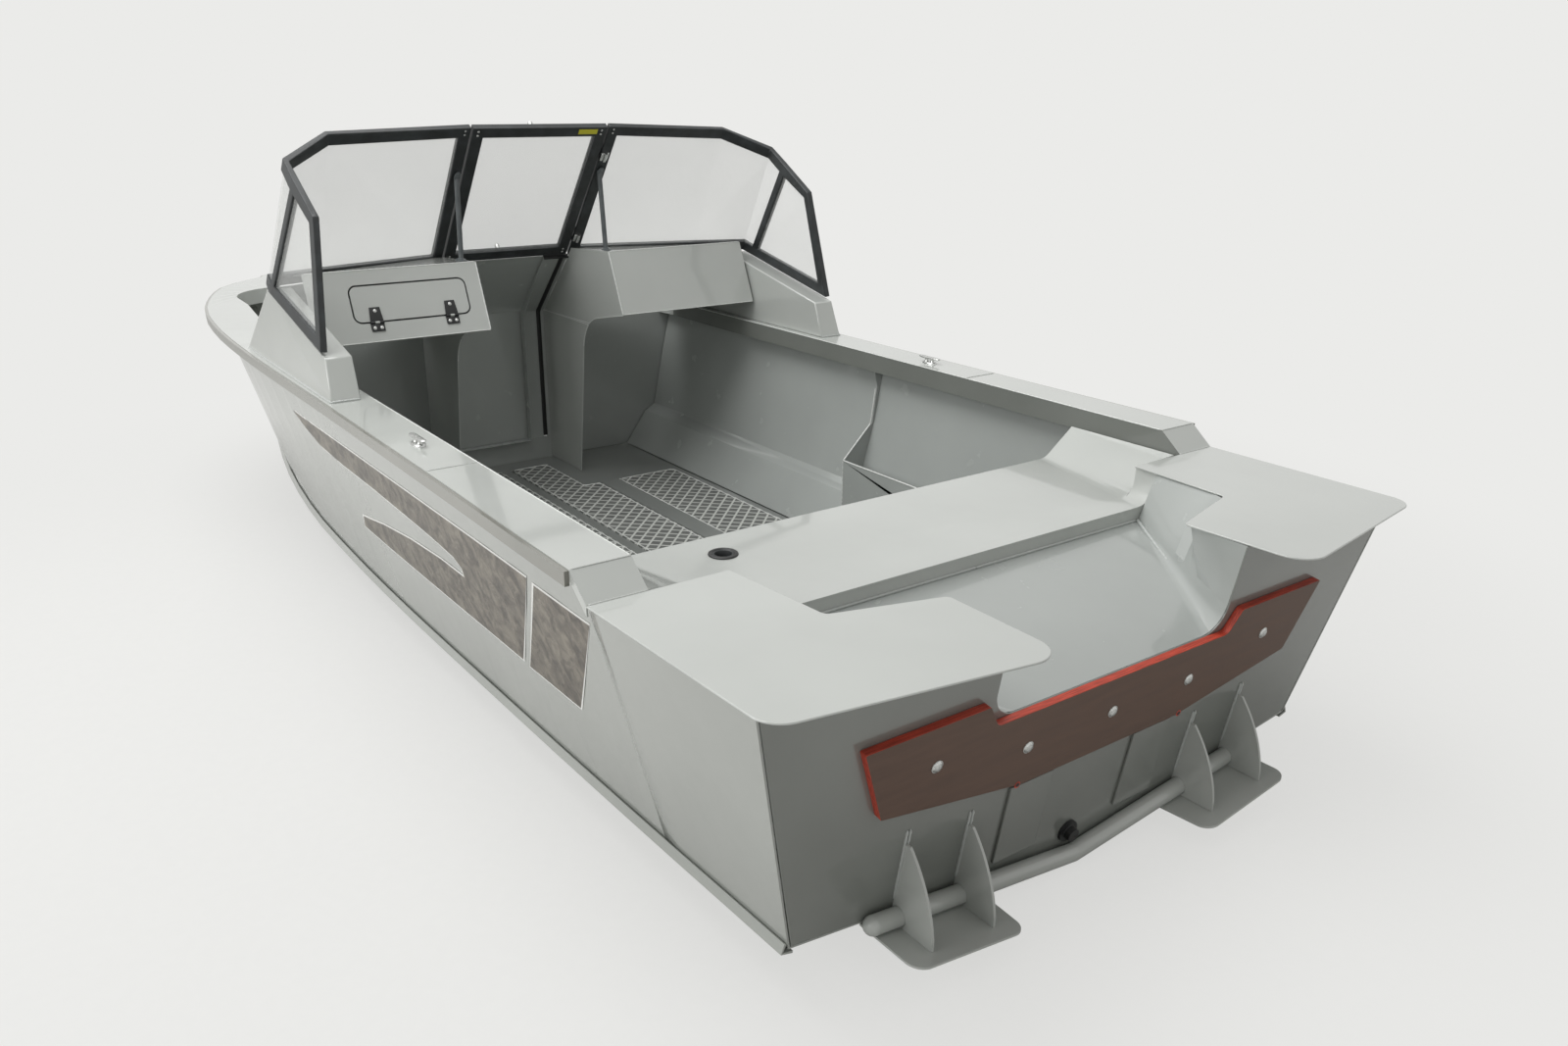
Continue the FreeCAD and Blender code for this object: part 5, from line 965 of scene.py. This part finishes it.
def studio_paper(name):
    """Matt seamless paper that takes the boat's shadow and fades into the backdrop around it.

    To the camera, the backdrop's share grows smoothly from 72 hundredths at 1.6 m from the
    boat's middle to all of it at 3.6 m.
    """
    material, tree, shader, place = new_material(name)
    fibre = add_node(tree, "ShaderNodeTexNoise", Vector=place, Scale=40.0, Detail=3.0)
    wire(
        tree, shader,
        Base_Color=two_tone(tree, fibre.outputs["Fac"], "#dcdcda", "#dfdfdd"),
        Roughness=0.9,
    )
    from_boat = add_node(
        tree, "ShaderNodeVectorMath", {"operation": "DISTANCE"}, _0=place, _1=(1.9, 0.0, KEEL_LOW)
    )
    fade = add_node(
        tree, "ShaderNodeMapRange", {"interpolation_type": "SMOOTHSTEP"}, Value=from_boat.outputs["Value"]
    )
    fade.inputs["From Min"].default_value = 1.6
    fade.inputs["From Max"].default_value = 3.6
    fade.inputs["To Min"].default_value = 0.72
    rays = add_node(tree, "ShaderNodeLightPath")
    share = add_node(
        tree, "ShaderNodeMath", {"operation": "MULTIPLY"}, _0=fade.outputs["Result"],
        _1=rays.outputs["Is Camera Ray"],
    )
    glow = add_node(tree, "ShaderNodeEmission", Color=paint(BACKDROP), Strength=1.0)
    choice = add_node(
        tree, "ShaderNodeMixShader", _0=share.outputs["Value"], _1=shader.outputs["BSDF"],
        _2=glow.outputs["Emission"],
    )
    tree.links.new(choice.outputs["Shader"], tree.nodes["Material Output"].inputs["Surface"])
    return material


def studio_floor():
    """A flat sheet under the keel."""
    half = 14.0
    steps = np.linspace(-half, half, 3)
    x, y = np.meshgrid(steps, steps, indexing="ij")
    grid = np.stack([x, y, np.full_like(x, KEEL_LOW)], axis=-1)
    mesh = bpy.data.meshes.new("studio_floor")
    faces = [[0, 3, 4, 1], [1, 4, 5, 2], [3, 6, 7, 4], [4, 7, 8, 5]]
    mesh.from_pydata(grid.reshape(-1, 3).tolist(), [], faces)
    mesh.materials.append(studio_paper("studio_paper"))
    floor = bpy.data.objects.new("studio_floor", mesh)
    bpy.context.scene.collection.objects.link(floor)


studio_floor()

world = bpy.data.worlds.new("studio")
bpy.context.scene.world = world
world.use_nodes = True
sky = world.node_tree
backdrop = sky.nodes["Background"]
backdrop.inputs["Color"].default_value = paint(BACKDROP)
# The backdrop is at full strength to the camera, through glass and in reflections, and lights
# the rest a little over half as much
rays = add_node(sky, "ShaderNodeLightPath")
shown = rays.outputs["Is Camera Ray"]
for way in ("Is Transmission Ray", "Is Glossy Ray"):
    either = add_node(
        sky, "ShaderNodeMath", {"operation": "MAXIMUM"}, _0=shown, _1=rays.outputs[way]
    )
    shown = either.outputs["Value"]
level = add_node(sky, "ShaderNodeMapRange", Value=shown)
level.inputs["To Min"].default_value = 0.55
level.inputs["To Max"].default_value = 1.0
sky.links.new(level.outputs["Result"], backdrop.inputs["Strength"])


def soft_lamp(name, place, target, size, power):
    """A square softbox aimed at a point."""
    data = bpy.data.lights.new(name, "AREA")
    data.shape = "RECTANGLE"
    data.size, data.size_y = size
    data.energy = power
    lamp = bpy.data.objects.new(name, data)
    bpy.context.scene.collection.objects.link(lamp)
    lamp.location = place
    aim = Vector(target) - Vector(place)
    lamp.rotation_euler = aim.to_track_quat("-Z", "Y").to_euler()


soft_lamp("overhead", (2.6, 1.2, 5.0), (2.2, 0, 0.4), (5.0, 4.0), 210)
soft_lamp("port_side", (1.6, 6.0, 2.4), (1.8, 0, 0.3), (5.0, 2.6), 120)

# Camera at the photograph's place, worked out from pairs of points on the deck edges

CAMERA_PLACE = Vector((-1.411, 1.802, 1.404))
CAMERA_YAW = -0.6294
CAMERA_PITCH = -0.3437
CAMERA_ROLL = -0.0077
PHOTO_WIDTH = 1600
FOCAL_PIXELS = 1224.7

ahead = Vector((
    math.cos(CAMERA_PITCH) * math.cos(CAMERA_YAW),
    math.cos(CAMERA_PITCH) * math.sin(CAMERA_YAW),
    math.sin(CAMERA_PITCH),
))
level_right = ahead.cross(Vector((0, 0, 1))).normalized()
level_down = ahead.cross(level_right)
right = level_right * math.cos(CAMERA_ROLL) + level_down * math.sin(CAMERA_ROLL)
down = level_down * math.cos(CAMERA_ROLL) - level_right * math.sin(CAMERA_ROLL)
camera_data = bpy.data.cameras.new("camera")
camera_data.sensor_width = 36
camera_data.lens = camera_data.sensor_width * FOCAL_PIXELS / PHOTO_WIDTH
camera = bpy.data.objects.new("camera", camera_data)
bpy.context.scene.collection.objects.link(camera)
turn = Matrix((right, -down, -ahead)).transposed()
camera.matrix_world = Matrix.Translation(CAMERA_PLACE) @ turn.to_4x4()
bpy.context.scene.camera = camera
bpy.context.scene.view_settings.view_transform = "Standard"
